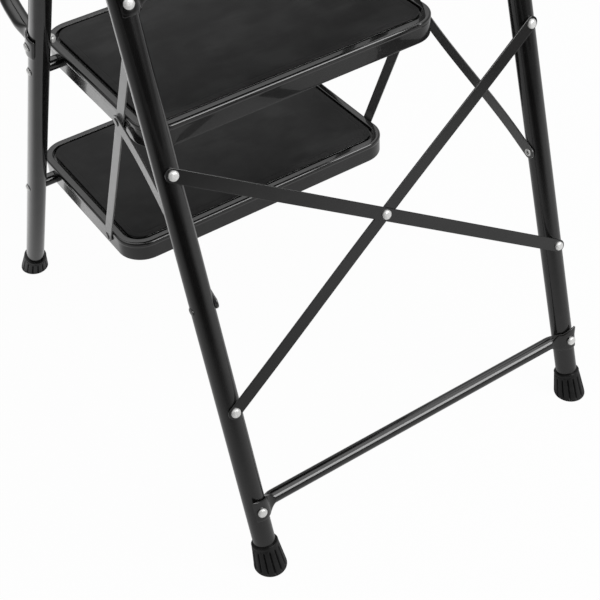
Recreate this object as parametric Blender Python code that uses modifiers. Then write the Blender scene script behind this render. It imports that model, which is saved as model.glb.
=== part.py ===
import math

import bmesh
import bpy
from mathutils import Matrix, Vector

# Folding step stool: a leaning front frame with a grab hoop and two side handrails, three treads,
# a hinged rear frame with a crossed brace, and the flat links that fold them together.
# Metres. +Z is up, +X is the stool's right side, -Y is the side that is climbed.

# Clearances
fit = 0.0003
rail_gap = 0.0003

# Stance of the two frames on the floor
foot_spread = 0.6494
front_lean = 0.4511
rear_lean = 0.2794
front_half_width = 0.2253
front_taper = 0.0105
front_knee_height = 0.70
rear_half_width = 0.2292
rear_taper = 0.0087
rear_knee_height = 0.68

# Tubes
front_tube_radius = 0.0126
rear_tube_radius = 0.0131
bar_radius = 0.0081
tube_end_height = 0.0065
hoop_height = 1.13
hoop_corner_radius = 0.065

# Hinge of the rear frame, behind the front legs
hinge_offset = 0.040
hinge_pin_radius = 0.004
rear_tube_overrun = 0.0095
bracket_thickness = 0.002
bracket_half_height = 0.019
bracket_eye_radius = 0.0125
bracket_trim = 0.001
bracket_play = 0.0005

# Treads
first_tread_height = 0.224
tread_pitch = 0.2289
tread_width = 0.3936
tread_depth = 0.2654
tread_nose = 0.0494
tread_corner_radius = 0.0347
tread_skirt = 0.027
tread_sheet = 0.0012
rim_width = 0.0105
rim_overhang = 0.0006
rim_drop = 0.0056
rim_edge = 0.0030
rim_shoulder = 0.0009
rim_crown = 0.0032
rim_step = 0.0016
hem_width = 0.005
recess_slope = 0.0012
mat_recess = 0.0028
mat_thickness = 0.0030
mat_border = 0.0011
bar_drop = 0.0165

# Links between the treads and the struts to the rear legs
link_reach = 0.1582
link_rise = 0.0038
link_width = 0.015
link_thickness = 0.0018
strut_width = 0.016
strut_thickness = 0.0020
strut_foot_height = 0.3328
link_pin_radius = 0.0025
link_head_radius = 0.0048
link_head_height = 0.0010
strut_head_height = 0.0018

# Rear frame braces
lower_bar_height = 0.0815
upper_bar_height = 0.6441
brace_high = 0.4798
brace_low = 0.2117
brace_width = 0.015
brace_thickness = 0.0018
brace_end_margin = 0.001
brace_flat = 0.02
brace_bow = 0.22
bar_end_run = 0.014
rail_end_run = 0.024
pressed_thickness = 0.0032
pressed_width = 0.0240

# Side handrails
rail_radius = 0.0102
rail_low_rise = 0.0426
rail_top_drop = 0.145
rail_forward_offset = 0.095
rail_bend_radius = 0.045
rail_side_offset = 0.0045
rail_pressed_width = 0.031
grip_radius = 0.0155
grip_length = 0.24
hoop_grip_radius = 0.0175
hoop_grip_length = 0.22

# Fasteners
rivet_head_radius = 0.0056
rivet_head_height = 0.0032
rivet_shank_radius = 0.0026
bolt_shank_radius = 0.0030
bar_bolt_depth = 0.016
bolt_end_gap = 0.001
rivet_depth = 0.008
set_depth = 0.0004
hinge_head_radius = 0.0075
hinge_tail_radius = 0.0069
hinge_tail_height = 0.0024
hinge_steps = 12
set_tail_radius = 0.0046
set_tail_height = 0.0018
nut_radius = 0.005
nut_height = 0.003
pin_tail_radius = 0.005
pin_tail_height = 0.002
sheet_tail_height = 0.0012

# Rubber feet
foot_height = 0.034
foot_wall = 0.0027
foot_base_radius = 0.0193
foot_flutes = 12
foot_flute_depth = 0.0011
foot_lip = 0.0006
foot_drop = 0.016

# Derived places
tread_count = 3
right, left = 1, -1
sides = {"right": right, "left": left}
across = Vector((1, 0, 0))
front_up = Vector((0, front_lean, 1)).normalized()
front_back = Vector((0, 1, -front_lean)).normalized()
rear_up = Vector((0, -rear_lean, 1)).normalized()
rear_back = Vector((0, 1, rear_lean)).normalized()


def foot_reach(lean):
    # how far a leaning foot reaches along the floor from its leg's axis
    return foot_base_radius * math.hypot(1, lean)


# the origin lies midway between the outermost edges of the front and rear feet
origin_shift = (foot_reach(front_lean) - foot_reach(rear_lean)) / 2


def front_y(height):
    return origin_shift - foot_spread / 2 + front_lean * height


def rear_y(height):
    return origin_shift + foot_spread / 2 - rear_lean * height


def front_axis(side, height):
    x = front_half_width - front_taper * min(height, front_knee_height)
    return Vector((side * x, front_y(height), height))


hinge_x = front_axis(right, front_knee_height).x
meeting_height = foot_spread / (front_lean + rear_lean)
opening_angle = math.atan(front_lean) + math.atan(rear_lean)
hinge_height = meeting_height - hinge_offset / math.sin(opening_angle) * rear_up.z


def rear_axis(side, height):
    x = rear_half_width - rear_taper * min(height, rear_knee_height)
    if height > rear_knee_height:
        share = (height - rear_knee_height) / (hinge_height - rear_knee_height)
        x += (hinge_x - x) * share
    return Vector((side * x, rear_y(height), height))


def tread_top(index):
    return first_tread_height + index * tread_pitch


def bar_point(index):
    height = tread_top(index) - bar_drop
    return Vector((0, front_y(height), height))


# the side handrails reach from just above the middle tread's bar to just below the hoop's bends
rail_low_height = bar_point(1).z + rail_low_rise
rail_high_height = hoop_height - rail_top_drop


def link_point(index):
    return bar_point(index) + Vector((0, link_reach, link_rise))


def hinge_point():
    return Vector((0, rear_y(hinge_height), hinge_height))


def strut_foot():
    return Vector((0, rear_y(strut_foot_height), strut_foot_height))


def tread_name(index):
    return "platform" if index == tread_count - 1 else "tread_%d" % (index + 1)


def skirt_depth(index):
    # the platform's skirt reaches down to rest on the upper rear bar
    if index == tread_count - 1:
        return tread_top(index) - (upper_bar_height + bar_radius + fit)
    return tread_skirt


# Layers across the stool, from the tread's side outwards
link_inner_x = tread_width / 2 + fit
link_outer_x = link_inner_x + link_thickness
link_head_x = link_outer_x + fit
strut_inner_x = link_head_x + link_head_height + fit
strut_top_x = strut_inner_x + strut_thickness / 2
strut_foot_x = rear_axis(right, strut_foot_height).x - rear_tube_radius - fit - strut_thickness / 2

for old in list(bpy.data.objects):
    bpy.data.objects.remove(old, do_unlink=True)

stool = bpy.data.collections.new("folding_step_stool")
cutters = bpy.data.collections.new("cutters")
bpy.context.scene.collection.children.link(stool)
bpy.context.scene.collection.children.link(cutters)


def material(name, colour, roughness, metallic):
    made = bpy.data.materials.get(name)
    if made:
        return made
    made = bpy.data.materials.new(name)
    made.use_nodes = True
    shader = made.node_tree.nodes["Principled BSDF"]
    shader.inputs["Base Color"].default_value = (*colour, 1)
    shader.inputs["Roughness"].default_value = roughness
    shader.inputs["Metallic"].default_value = metallic
    return made


def black_paint():
    return material("black_paint", (0.022, 0.021, 0.021), 0.22, 0.0)


def black_rubber():
    return material("black_rubber", (0.018, 0.018, 0.018), 0.75, 0.0)


def mat_rubber():
    return material("mat_rubber", (0.028, 0.028, 0.028), 0.62, 0.0)


def black_foam():
    return material("black_foam", (0.016, 0.016, 0.016), 0.85, 0.0)


def zinc():
    return material("zinc", (0.72, 0.72, 0.70), 0.3, 1.0)


def axes_matrix(origin, x_axis, y_axis, z_axis):
    turned = Matrix((x_axis, y_axis, z_axis)).transposed().to_4x4()
    return Matrix.Translation(origin) @ turned


def along_matrix(origin, direction):
    turned = direction.to_track_quat("Z", "Y").to_matrix().to_4x4()
    return Matrix.Translation(origin) @ turned


def add_object(name, mesh, paint, smooth_angle=35):
    mesh.name = name
    made = bpy.data.objects.new(name, mesh)
    stool.objects.link(made)
    mesh.materials.clear()
    mesh.materials.append(paint)
    mesh.shade_smooth()
    mesh.set_sharp_from_angle(angle=math.radians(smooth_angle))
    return made


def mesh_from_object(source):
    # evaluates a helper object, welds its loose caps and removes it
    bpy.context.view_layer.update()
    graph = bpy.context.evaluated_depsgraph_get()
    mesh = bpy.data.meshes.new_from_object(source.evaluated_get(graph))
    work = bmesh.new()
    work.from_mesh(mesh)
    bmesh.ops.remove_doubles(work, verts=work.verts, dist=1e-6)
    bmesh.ops.recalc_face_normals(work, faces=work.faces)
    work.to_mesh(mesh)
    work.free()
    bpy.data.objects.remove(source, do_unlink=True)
    return mesh


def joined(pieces):
    # one mesh from several (mesh, matrix) pairs
    work = bmesh.new()
    for mesh, matrix in pieces:
        part = mesh.copy()
        part.transform(matrix)
        work.from_mesh(part)
        bpy.data.meshes.remove(part)
    mesh = bpy.data.meshes.new("joined")
    bmesh.ops.recalc_face_normals(work, faces=work.faces)
    work.to_mesh(mesh)
    work.free()
    return mesh


def tube_mesh(points, radius, resolution=6):
    data = bpy.data.curves.new("tube", "CURVE")
    data.dimensions = "3D"
    data.bevel_depth = radius
    data.bevel_resolution = resolution
    data.use_fill_caps = True
    spline = data.splines.new("POLY")
    spline.points.add(len(points) - 1)
    for slot, point in zip(spline.points, points):
        slot.co = (*point, 1)
    helper = bpy.data.objects.new("tube", data)
    stool.objects.link(helper)
    return mesh_from_object(helper)


def plate_mesh(outline, holes, thickness):
    # a flat outline with round holes, lying in XY and centred on its thickness
    data = bpy.data.curves.new("plate", "CURVE")
    data.dimensions = "2D"
    data.fill_mode = "BOTH"
    data.extrude = thickness / 2
    loops = [outline]
    for x, y, radius in holes:
        loops.append(circle_points(x, y, radius, 8))
    for loop in loops:
        spline = data.splines.new("POLY")
        spline.points.add(len(loop) - 1)
        for slot, point in zip(spline.points, loop):
            slot.co = (point[0], point[1], 0, 1)
        spline.use_cyclic_u = True
    helper = bpy.data.objects.new("plate", data)
    stool.objects.link(helper)
    return mesh_from_object(helper)


def circle_points(x, y, radius, count):
    points = []
    for step in range(count):
        angle = math.tau * step / count
        points.append((x + radius * math.cos(angle), y + radius * math.sin(angle)))
    return points


def strip_outline(length, width, overrun=0.0):
    # a strip with round ends, whose end holes lie at 0 and at length along x
    radius = width / 2
    points = []
    for end, turn in ((length + overrun, -math.pi / 2), (-overrun, math.pi / 2)):
        for step in range(7):
            angle = turn + math.pi * step / 6
            points.append((end + radius * math.cos(angle), radius * math.sin(angle)))
    return points


def bend_plate(mesh, stations, rise):
    # a flat plate without holes is cut across at the stations, then raised by rise(x)
    work = bmesh.new()
    work.from_mesh(mesh)
    bmesh.ops.dissolve_limit(work, angle_limit=math.radians(1), verts=work.verts, edges=work.edges)
    for station in stations:
        geometry = work.verts[:] + work.edges[:] + work.faces[:]
        place = Vector((station, 0, 0))
        bmesh.ops.bisect_plane(work, geom=geometry, dist=1e-6, plane_co=place, plane_no=across)
    for vertex in work.verts:
        vertex.co.z += rise(vertex.co.x)
    bmesh.ops.triangulate(work, faces=work.faces)
    work.to_mesh(mesh)
    work.free()


def turned_mesh(profile, steps, closed=False):
    # profile points are (radius, height), running down the outer side
    data = bpy.data.meshes.new("profile")
    count = len(profile)
    edges = [(index, index + 1) for index in range(count - 1)]
    if closed:
        edges.append((count - 1, 0))
    data.from_pydata([(radius, 0, height) for radius, height in profile], edges, [])
    helper = bpy.data.objects.new("profile", data)
    stool.objects.link(helper)
    screw = helper.modifiers.new("screw", "SCREW")
    screw.steps = steps
    screw.render_steps = steps
    screw.use_merge_vertices = True
    screw.merge_threshold = 0.00001
    return mesh_from_object(helper)


def cylinder_mesh(start, end, radius, segments=16):
    work = bmesh.new()
    matrix = along_matrix((start + end) / 2, (end - start).normalized())
    bmesh.ops.create_cone(work, cap_ends=True, segments=segments, radius1=radius, radius2=radius,
                          depth=(end - start).length, matrix=matrix)
    mesh = bpy.data.meshes.new("cylinder")
    work.to_mesh(mesh)
    work.free()
    return mesh


def cut(target, name, mesh, operation="DIFFERENCE"):
    cutter = bpy.data.objects.new(name, mesh)
    cutters.objects.link(cutter)
    cutter.hide_render = True
    cutter.display_type = "WIRE"
    boolean = target.modifiers.new(name, "BOOLEAN")
    boolean.operation = operation
    boolean.object = cutter
    return cutter


def drill(target, name, bores, segments=8):
    # bores are (start, end, radius); none of them meet, so one cutter holds them all
    pieces = [(cylinder_mesh(start, end, radius, segments), Matrix()) for start, end, radius in bores]
    cut(target, name, joined(pieces))


def swept_mesh(centres, first_normal, sections):
    # a loft: sections are (half thickness, half width, squareness) at each centre,
    # the thickness lies along the carried normal and the width across it
    ring_size = 12
    work = bmesh.new()
    rings = []
    normal = first_normal
    for index, centre in enumerate(centres):
        ahead = centres[min(index + 1, len(centres) - 1)]
        behind = centres[max(index - 1, 0)]
        tangent = (ahead - behind).normalized()
        normal = (normal - tangent * normal.dot(tangent)).normalized()
        width_axis = tangent.cross(normal)
        thickness, width, squareness = sections[index]
        ring = []
        for step in range(ring_size):
            angle = math.tau * (step + 0.5) / ring_size
            power = 2 / squareness
            c = math.copysign(abs(math.cos(angle)) ** power, math.cos(angle))
            s = math.copysign(abs(math.sin(angle)) ** power, math.sin(angle))
            ring.append(work.verts.new(centre + normal * thickness * c + width_axis * width * s))
        rings.append(ring)
    for lower, upper in zip(rings, rings[1:]):
        for step in range(ring_size):
            following = (step + 1) % ring_size
            work.faces.new((lower[step], lower[following], upper[following], upper[step]))
    work.faces.new(rings[0])
    work.faces.new(list(reversed(rings[-1])))
    bmesh.ops.recalc_face_normals(work, faces=work.faces)
    mesh = bpy.data.meshes.new("swept")
    work.to_mesh(mesh)
    work.free()
    return mesh


def pressed_section(radius, pressed, flatness):
    # a round tube at flatness 0, pressed flat to the pressed width at 1
    ease = flatness * flatness * (3 - 2 * flatness)
    thickness = radius + (pressed_thickness / 2 - radius) * ease
    width = radius + (pressed / 2 - radius) * ease
    return thickness, width, 2 + 2.5 * ease


def bezier(start, start_pull, end_pull, end, steps):
    # points after the start, up to and including the end
    points = []
    for step in range(1, steps + 1):
        t = step / steps
        u = 1 - t
        points.append(start * u ** 3 + start_pull * 3 * u * u * t + end_pull * 3 * u * t * t + end * t ** 3)
    return points


def saddle_path(reach, tube_offset, wrap_start, wrap_end, leg_radius):
    # in the plane across a leg, with the leg's axis at the origin: the pressed end wraps the leg
    # from wrap_start to wrap_end, angles in degrees, then leaves to (tube_offset, reach)
    ring = leg_radius + fit + pressed_thickness / 2
    points = []
    flatness = []
    steps = 5
    for step in range(steps + 1):
        angle = math.radians(wrap_start + (wrap_end - wrap_start) * step / steps)
        points.append(Vector((ring * math.cos(angle), ring * math.sin(angle))))
        flatness.append(1.0)
    last = math.radians(wrap_end)
    turn = math.copysign(1, wrap_end - wrap_start)
    heading = Vector((-math.sin(last), math.cos(last))) * turn
    leave = Vector((0, math.copysign(1, reach)))
    end = Vector((tube_offset, reach))
    span = (end - points[-1]).length
    bend = bezier(points[-1], points[-1] + heading * span * 0.35, end - leave * span * 0.45, end, 4)
    for index, point in enumerate(bend):
        points.append(point)
        flatness.append(1 - (index + 1) / len(bend))
    return points, flatness


# Rubber feet: a fluted cup around the tube's end, cut flat where it stands
def foot_mesh(tube_radius):
    bore = tube_radius + fit
    collar = bore + foot_wall
    count = foot_flutes * 2
    heights = (-foot_drop, foot_height * 0.1, foot_height * 0.7, foot_height - foot_lip * 2, foot_height)
    work = bmesh.new()
    rings = []
    for height in heights:
        rise = max(0.0, height) / foot_height
        radius = foot_base_radius + (collar - foot_base_radius) * min(1.0, rise * 1.15)
        if height == foot_height:
            radius -= foot_lip
        depth = foot_flute_depth if rise < 0.7 else 0.0
        ring = []
        for step in range(count):
            angle = math.tau * step / count
            r = radius - depth * (step % 2)
            ring.append(work.verts.new((r * math.cos(angle), r * math.sin(angle), height)))
        rings.append(ring)
    for lower, upper in zip(rings, rings[1:]):
        for step in range(count):
            following = (step + 1) % count
            work.faces.new((lower[step], lower[following], upper[following], upper[step]))
    work.faces.new(list(reversed(rings[0])))
    work.faces.new(rings[-1])
    mesh = bpy.data.meshes.new("foot")
    work.to_mesh(mesh)
    work.free()
    return mesh


def make_foot(name, axis_point, up, tube_radius, tube_end):
    mesh = foot_mesh(tube_radius)
    mesh.transform(along_matrix(axis_point, up))
    foot = add_object(name, mesh, black_rubber(), 50)
    bore = cylinder_mesh(tube_end - up * fit, axis_point + up * foot_height * 1.3, tube_radius + fit, 16)
    cut(foot, name + "_bore", bore)
    floor = bmesh.new()
    size = foot_base_radius * 6
    under = Matrix.Translation((axis_point.x, axis_point.y, -size / 2))
    bmesh.ops.create_cube(floor, size=size, matrix=under)
    floor_mesh = bpy.data.meshes.new(name + "_floor")
    floor.to_mesh(floor_mesh)
    floor.free()
    cut(foot, name + "_floor", floor_mesh)
    return foot


# Fasteners, turned about Z with the head's seat at height 0
def rivet_profile(head_radius, head_height, shank_radius, shank_length, tail_radius=0, tail_height=0):
    profile = [(0, head_height), (head_radius * 0.62, head_height * 0.82), (head_radius, head_height * 0.25),
               (head_radius, 0), (shank_radius, 0), (shank_radius, -shank_length)]
    if tail_radius:
        profile += [(tail_radius, -shank_length), (tail_radius, -shank_length - tail_height * 0.6),
                    (tail_radius * 0.6, -shank_length - tail_height), (0, -shank_length - tail_height)]
    else:
        profile.append((0, -shank_length))
    return profile


def rivet_mesh(head_radius, head_height, shank_radius, shank_length, tail_radius=0, tail_height=0, steps=8):
    profile = rivet_profile(head_radius, head_height, shank_radius, shank_length, tail_radius, tail_height)
    return turned_mesh(profile, steps)


def add_fastener(name, mesh, seat, direction):
    mesh.transform(along_matrix(seat, direction))
    return add_object(name, mesh, zinc())


def sleeve_mesh(inner, outer, length):
    edge = (outer - inner) * 0.45
    half = length / 2
    profile = [(inner, half), (outer - edge, half), (outer, half - edge), (outer, -half + edge),
               (outer - edge, -half), (inner, -half)]
    return turned_mesh(profile, 16, closed=True)


# Front frame: one tube bent into a tall hoop
def front_frame_points():
    knee = front_axis(right, front_knee_height)
    start = front_axis(right, tube_end_height)
    corner = front_axis(right, hoop_height)
    points = [start, knee]
    centre = corner - front_up * hoop_corner_radius - across * hoop_corner_radius
    steps = 5
    for step in range(steps + 1):
        angle = math.pi / 2 * step / steps
        out = across * math.cos(angle) + front_up * math.sin(angle)
        points.append(centre + out * hoop_corner_radius)
    mirrored = [Vector((-point.x, point.y, point.z)) for point in reversed(points)]
    return points + mirrored


def through_leg(centre, tube_radius, direction, radius, extra=0.01):
    reach = tube_radius + extra
    return centre - direction * reach, centre + direction * reach, radius


def bracket_rivet_point(side):
    foot = hinge_point() - front_back * hinge_offset
    return Vector((side * hinge_x, foot.y, foot.z))


def make_front_frame():
    frame = add_object("front_frame", tube_mesh(front_frame_points(), front_tube_radius), black_paint())
    bores = []
    for side in sides.values():
        centres = [front_axis(side, bar_point(index).z) for index in range(tread_count)]
        centres += [front_axis(side, rail_low_height), front_axis(side, rail_high_height)]
        centres.append(bracket_rivet_point(side))
        for centre in centres:
            bores.append(through_leg(centre, front_tube_radius, across, bolt_shank_radius + fit))
    drill(frame, "front_frame_bores", bores)
    return frame


def leg_cope(side, low, high):
    # the leg's own shape with its clearance, to shape what meets it
    return cylinder_mesh(low, high, front_tube_radius + fit, 32)


def make_front_bar(index):
    name = "front_crossbar_%d" % (index + 1)
    point = bar_point(index)
    half = front_axis(right, point.z).x
    ends = [point + across * half, point - across * half]
    bar = add_object(name, tube_mesh(ends, bar_radius, 4), black_paint())
    copes = []
    bores = []
    for side in sides.values():
        low = front_axis(side, point.z - front_tube_radius * 2)
        high = front_axis(side, point.z + front_tube_radius * 2)
        copes.append((leg_cope(side, low, high), Matrix()))
        outer = front_axis(side, point.z)
        inner = outer - across * side * (front_tube_radius + bar_bolt_depth)
        bores.append((outer - across * side * front_tube_radius * 0.6, inner, bolt_shank_radius + fit))
    cut(bar, name + "_copes", joined(copes))
    drill(bar, name + "_bores", bores)
    return bar


def make_bar_bolts(label, side):
    for index in range(tread_count):
        centre = front_axis(side, bar_point(index).z)
        length = 2 * front_tube_radius + bar_bolt_depth - bolt_end_gap
        seat = centre + across * side * (front_tube_radius + fit)
        mesh = rivet_mesh(rivet_head_radius, rivet_head_height, bolt_shank_radius, length)
        add_fastener("crossbar_bolt_%d_%s" % (index + 1, label), mesh, seat, across * side)


# Side handrails: a bent tube with both ends pressed around the front leg
def rail_centres(side):
    low = front_axis(side, rail_low_height)
    high = front_axis(side, rail_high_height)
    bend = rail_bend_radius
    run = front_tube_radius + rail_end_run
    flat, flatness = saddle_path(-run, rail_side_offset, 40, -48, front_tube_radius)
    centres = []
    shares = []

    def local(origin, x, n, d=0.0):
        return origin + across * side * x + front_back * n + front_up * d

    for point, share in zip(flat, flatness):
        centres.append(local(low, point.x, point.y))
        shares.append(share)
    arc_steps = 4
    for step in range(arc_steps + 1):
        angle = math.pi / 2 * step / arc_steps
        n = -(rail_forward_offset - bend) - bend * math.sin(angle)
        centres.append(local(low, rail_side_offset, n, bend * (1 - math.cos(angle))))
        shares.append(0.0)
    for step in range(arc_steps + 1):
        angle = math.pi / 2 * (1 - step / arc_steps)
        n = -(rail_forward_offset - bend) - bend * math.sin(angle)
        centres.append(local(high, rail_side_offset, n, -bend * (1 - math.cos(angle))))
        shares.append(0.0)
    for point, share in zip(reversed(flat), reversed(flatness)):
        centres.append(local(high, point.x, point.y))
        shares.append(share)
    return centres, shares


def make_handrail(label, side):
    centres, shares = rail_centres(side)
    sections = [pressed_section(rail_radius, rail_pressed_width, share) for share in shares]
    first_normal = across * side
    rail = add_object("handrail_" + label, swept_mesh(centres, first_normal, sections), black_paint())
    bores = []
    for height in (rail_low_height, rail_high_height):
        centre = front_axis(side, height)
        start = centre + across * side * (front_tube_radius - pressed_thickness)
        end = centre + across * side * (front_tube_radius + pressed_thickness * 4)
        bores.append((start, end, bolt_shank_radius + fit))
    drill(rail, "handrail_bores_" + label, bores)
    return rail


def make_rail_bolts(label, side):
    # a domed bolt outside the pressed end, with its nut on the leg's inner side
    for place, height in (("low", rail_low_height), ("high", rail_high_height)):
        centre = front_axis(side, height)
        seat = centre + across * side * (front_tube_radius + 2 * fit + pressed_thickness)
        length = 2 * front_tube_radius + 3 * fit + pressed_thickness
        mesh = rivet_mesh(rivet_head_radius, rivet_head_height, bolt_shank_radius, length,
                          nut_radius, nut_height)
        add_fastener("handrail_bolt_%s_%s" % (place, label), mesh, seat, across * side)


def make_rail_grip(label, side):
    low = front_axis(side, rail_low_height)
    high = front_axis(side, rail_high_height)
    centre = (low + high) / 2 + across * side * rail_side_offset - front_back * rail_forward_offset
    mesh = sleeve_mesh(rail_radius + rail_gap, grip_radius, grip_length)
    mesh.transform(along_matrix(centre, (high - low).normalized()))
    return add_object("handrail_grip_" + label, mesh, black_foam())


def make_hoop_grip():
    top = front_axis(right, hoop_height)
    mesh = sleeve_mesh(front_tube_radius + rail_gap, hoop_grip_radius, hoop_grip_length)
    mesh.transform(along_matrix(Vector((0, top.y, top.z)), across))
    return add_object("hoop_grip", mesh, black_foam())


# Hinge brackets: bent sheet round the front of each leg, with two ears that hold the rear leg
def bracket_gap():
    # half the gap between the two ears, which take the wider of the two legs
    return max(front_tube_radius, rear_tube_radius) + bracket_play


def make_bracket(label, side):
    name = "hinge_bracket_" + label
    inner = bracket_gap()
    tail = hinge_offset + bracket_eye_radius
    wrap_steps = 8
    path = [Vector((inner, tail)), Vector((inner, 0))]
    for step in range(1, wrap_steps):
        angle = math.pi * step / wrap_steps
        path.append(Vector((inner * math.cos(angle), -inner * math.sin(angle))))
    path += [Vector((-inner, 0)), Vector((-inner, tail))]
    work = bmesh.new()
    lower = [work.verts.new((p.x, p.y, -bracket_half_height)) for p in path]
    upper = [work.verts.new((p.x, p.y, bracket_half_height)) for p in path]
    for index in range(len(path) - 1):
        work.faces.new((lower[index], upper[index], upper[index + 1], lower[index + 1]))
    bmesh.ops.recalc_face_normals(work, faces=work.faces)
    mesh = bpy.data.meshes.new(name)
    work.to_mesh(mesh)
    work.free()
    origin = bracket_rivet_point(side)
    place = axes_matrix(origin, across, front_back, front_up)
    mesh.transform(place)
    bracket = add_object(name, mesh, black_paint())
    shell = bracket.modifiers.new("sheet", "SOLIDIFY")
    shell.thickness = bracket_thickness
    shell.offset = 1
    shell.use_even_offset = True
    eye = []
    taper_angle = math.asin((bracket_half_height - bracket_trim - bracket_eye_radius) / hinge_offset)
    steps = 8
    for step in range(steps + 1):
        angle = (math.pi / 2 - taper_angle) * (2 * step / steps - 1)
        reach = hinge_offset + bracket_eye_radius * math.cos(angle)
        eye.append((reach, bracket_eye_radius * math.sin(angle)))
    front = -2 * inner
    shoulder = front_tube_radius / 4
    trimmed = bracket_half_height - bracket_trim
    outline = [(front, trimmed), (front, -trimmed), (shoulder, -trimmed)] + eye + [(shoulder, trimmed)]
    keep = plate_mesh(outline, [], inner * 4)
    keep.transform(axes_matrix(origin, front_back, front_up, across))
    cut(bracket, name + "_outline", keep, "INTERSECT")
    hinge = hinge_point()
    pin = Vector((side * hinge_x, hinge.y, hinge.z))
    pin_bore = through_leg(pin, inner, across, hinge_pin_radius + fit)
    drill(bracket, name + "_bore", [pin_bore], hinge_steps)
    # the rivet through the front leg fills its holes in the two ears, so it is one with them
    half = inner + bracket_thickness - set_depth
    rivet = rivet_mesh(rivet_head_radius, rivet_head_height, bolt_shank_radius, 2 * half,
                       rivet_head_radius, rivet_head_height)
    rivet.transform(along_matrix(origin + across * side * half, across * side))
    cut(bracket, name + "_rivet", rivet, "UNION")
    return bracket


def make_hinge_pin(label, side):
    half = bracket_gap() + bracket_thickness
    hinge = hinge_point()
    seat = Vector((side * (hinge_x + half + fit), hinge.y, hinge.z))
    mesh = rivet_mesh(hinge_head_radius, rivet_head_height, hinge_pin_radius, 2 * half + 2 * fit,
                      hinge_tail_radius, hinge_tail_height, hinge_steps)
    add_fastener("hinge_pin_" + label, mesh, seat, across * side)


# Treads: a pressed sheet pan with a rolled rim, a skirt and a mat in its recess
def rounded_outline(half_x, half_y, radius, centre_y, steps=4):
    points = []
    corners = ((1, -1, -90), (1, 1, 0), (-1, 1, 90), (-1, -1, 180))
    for sign_x, sign_y, start in corners:
        for step in range(steps + 1):
            angle = math.radians(start + 90 * step / steps)
            x = sign_x * (half_x - radius) + radius * math.cos(angle)
            y = centre_y + sign_y * (half_y - radius) + radius * math.sin(angle)
            points.append((x, y))
    return points


def tread_outline(index, inset):
    centre_y = bar_point(index).y - tread_nose + tread_depth / 2
    half_x = tread_width / 2 - inset
    half_y = tread_depth / 2 - inset
    return rounded_outline(half_x, half_y, tread_corner_radius - inset, centre_y)


def pan_profile(skirt):
    # (inset, height below the tread's top), from the hem up over the rim and down into the recess
    side = rim_overhang
    return [(side + hem_width, -skirt), (side, -skirt), (side, -rim_drop - rim_step), (0, -rim_drop),
            (0, -rim_edge), (rim_shoulder, -rim_shoulder), (rim_crown, 0), (rim_width, 0),
            (rim_width + recess_slope, -mat_recess)]


def make_pan(index):
    name = tread_name(index) + "_pan"
    top = tread_top(index)
    work = bmesh.new()
    rings = []
    for inset, height in pan_profile(skirt_depth(index)):
        rings.append([work.verts.new((x, y, top + height)) for x, y in tread_outline(index, inset)])
    count = len(rings[0])
    for lower, upper in zip(rings, rings[1:]):
        for step in range(count):
            following = (step + 1) % count
            work.faces.new((lower[step], lower[following], upper[following], upper[step]))
    work.faces.new(rings[-1])
    mesh = bpy.data.meshes.new(name)
    work.to_mesh(mesh)
    work.free()
    pan = add_object(name, mesh, black_paint(), 40)
    shell = pan.modifiers.new("sheet", "SOLIDIFY")
    shell.thickness = tread_sheet
    shell.offset = -1
    shell.use_even_offset = True
    bar = bar_point(index)
    pin = link_point(index)
    bores = []
    for side in sides.values():
        for centre, radius in ((bar, bar_radius + fit), (pin, link_pin_radius + fit)):
            start = centre + across * side * (tread_width / 2 - hem_width * 2)
            bores.append((start, start + across * side * hem_width * 4, radius))
    drill(pan, name + "_bores", bores, 12)
    return pan


def make_mat(index):
    name = tread_name(index) + "_mat"
    inset = rim_width + recess_slope + mat_border
    outline = tread_outline(index, inset)
    mesh = plate_mesh(outline, [], mat_thickness)
    base = tread_top(index) - mat_recess + fit
    mesh.transform(Matrix.Translation((0, 0, base + mat_thickness / 2)))
    return add_object(name, mesh, mat_rubber(), 40)


def make_tread_rivets(index):
    point = link_point(index)
    sheet_inner = tread_width / 2 - rim_overhang - tread_sheet
    for label, side in sides.items():
        seat = Vector((side * link_head_x, point.y, point.z))
        length = link_head_x - sheet_inner + fit
        mesh = rivet_mesh(link_head_radius, link_head_height, link_pin_radius, length,
                          link_head_radius, sheet_tail_height)
        add_fastener("%s_rivet_%s" % (tread_name(index), label), mesh, seat, across * side)


# Link straps: they keep the treads level with each other
def make_link(label, side):
    low = link_point(0)
    length = (link_point(tread_count - 1) - low).length
    holes = []
    for index in range(tread_count):
        holes.append(((link_point(index) - low).length, 0, link_pin_radius + fit))
    mesh = plate_mesh(strip_outline(length, link_width), holes, link_thickness)
    origin = Vector((side * (link_inner_x + link_thickness / 2), low.y, low.z))
    mesh.transform(axes_matrix(origin, front_up, -front_back, across))
    return add_object("link_strap_" + label, mesh, black_paint())


def smooth(t):
    t = min(1.0, max(0.0, t))
    return t * t * (3 - 2 * t)


# Struts: from the middle tread's link to the inner side of each rear leg
def strut_frame(side):
    top = link_point(1)
    foot = strut_foot()
    along = (foot - top).normalized()
    return top, along, (foot - top).length


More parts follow.
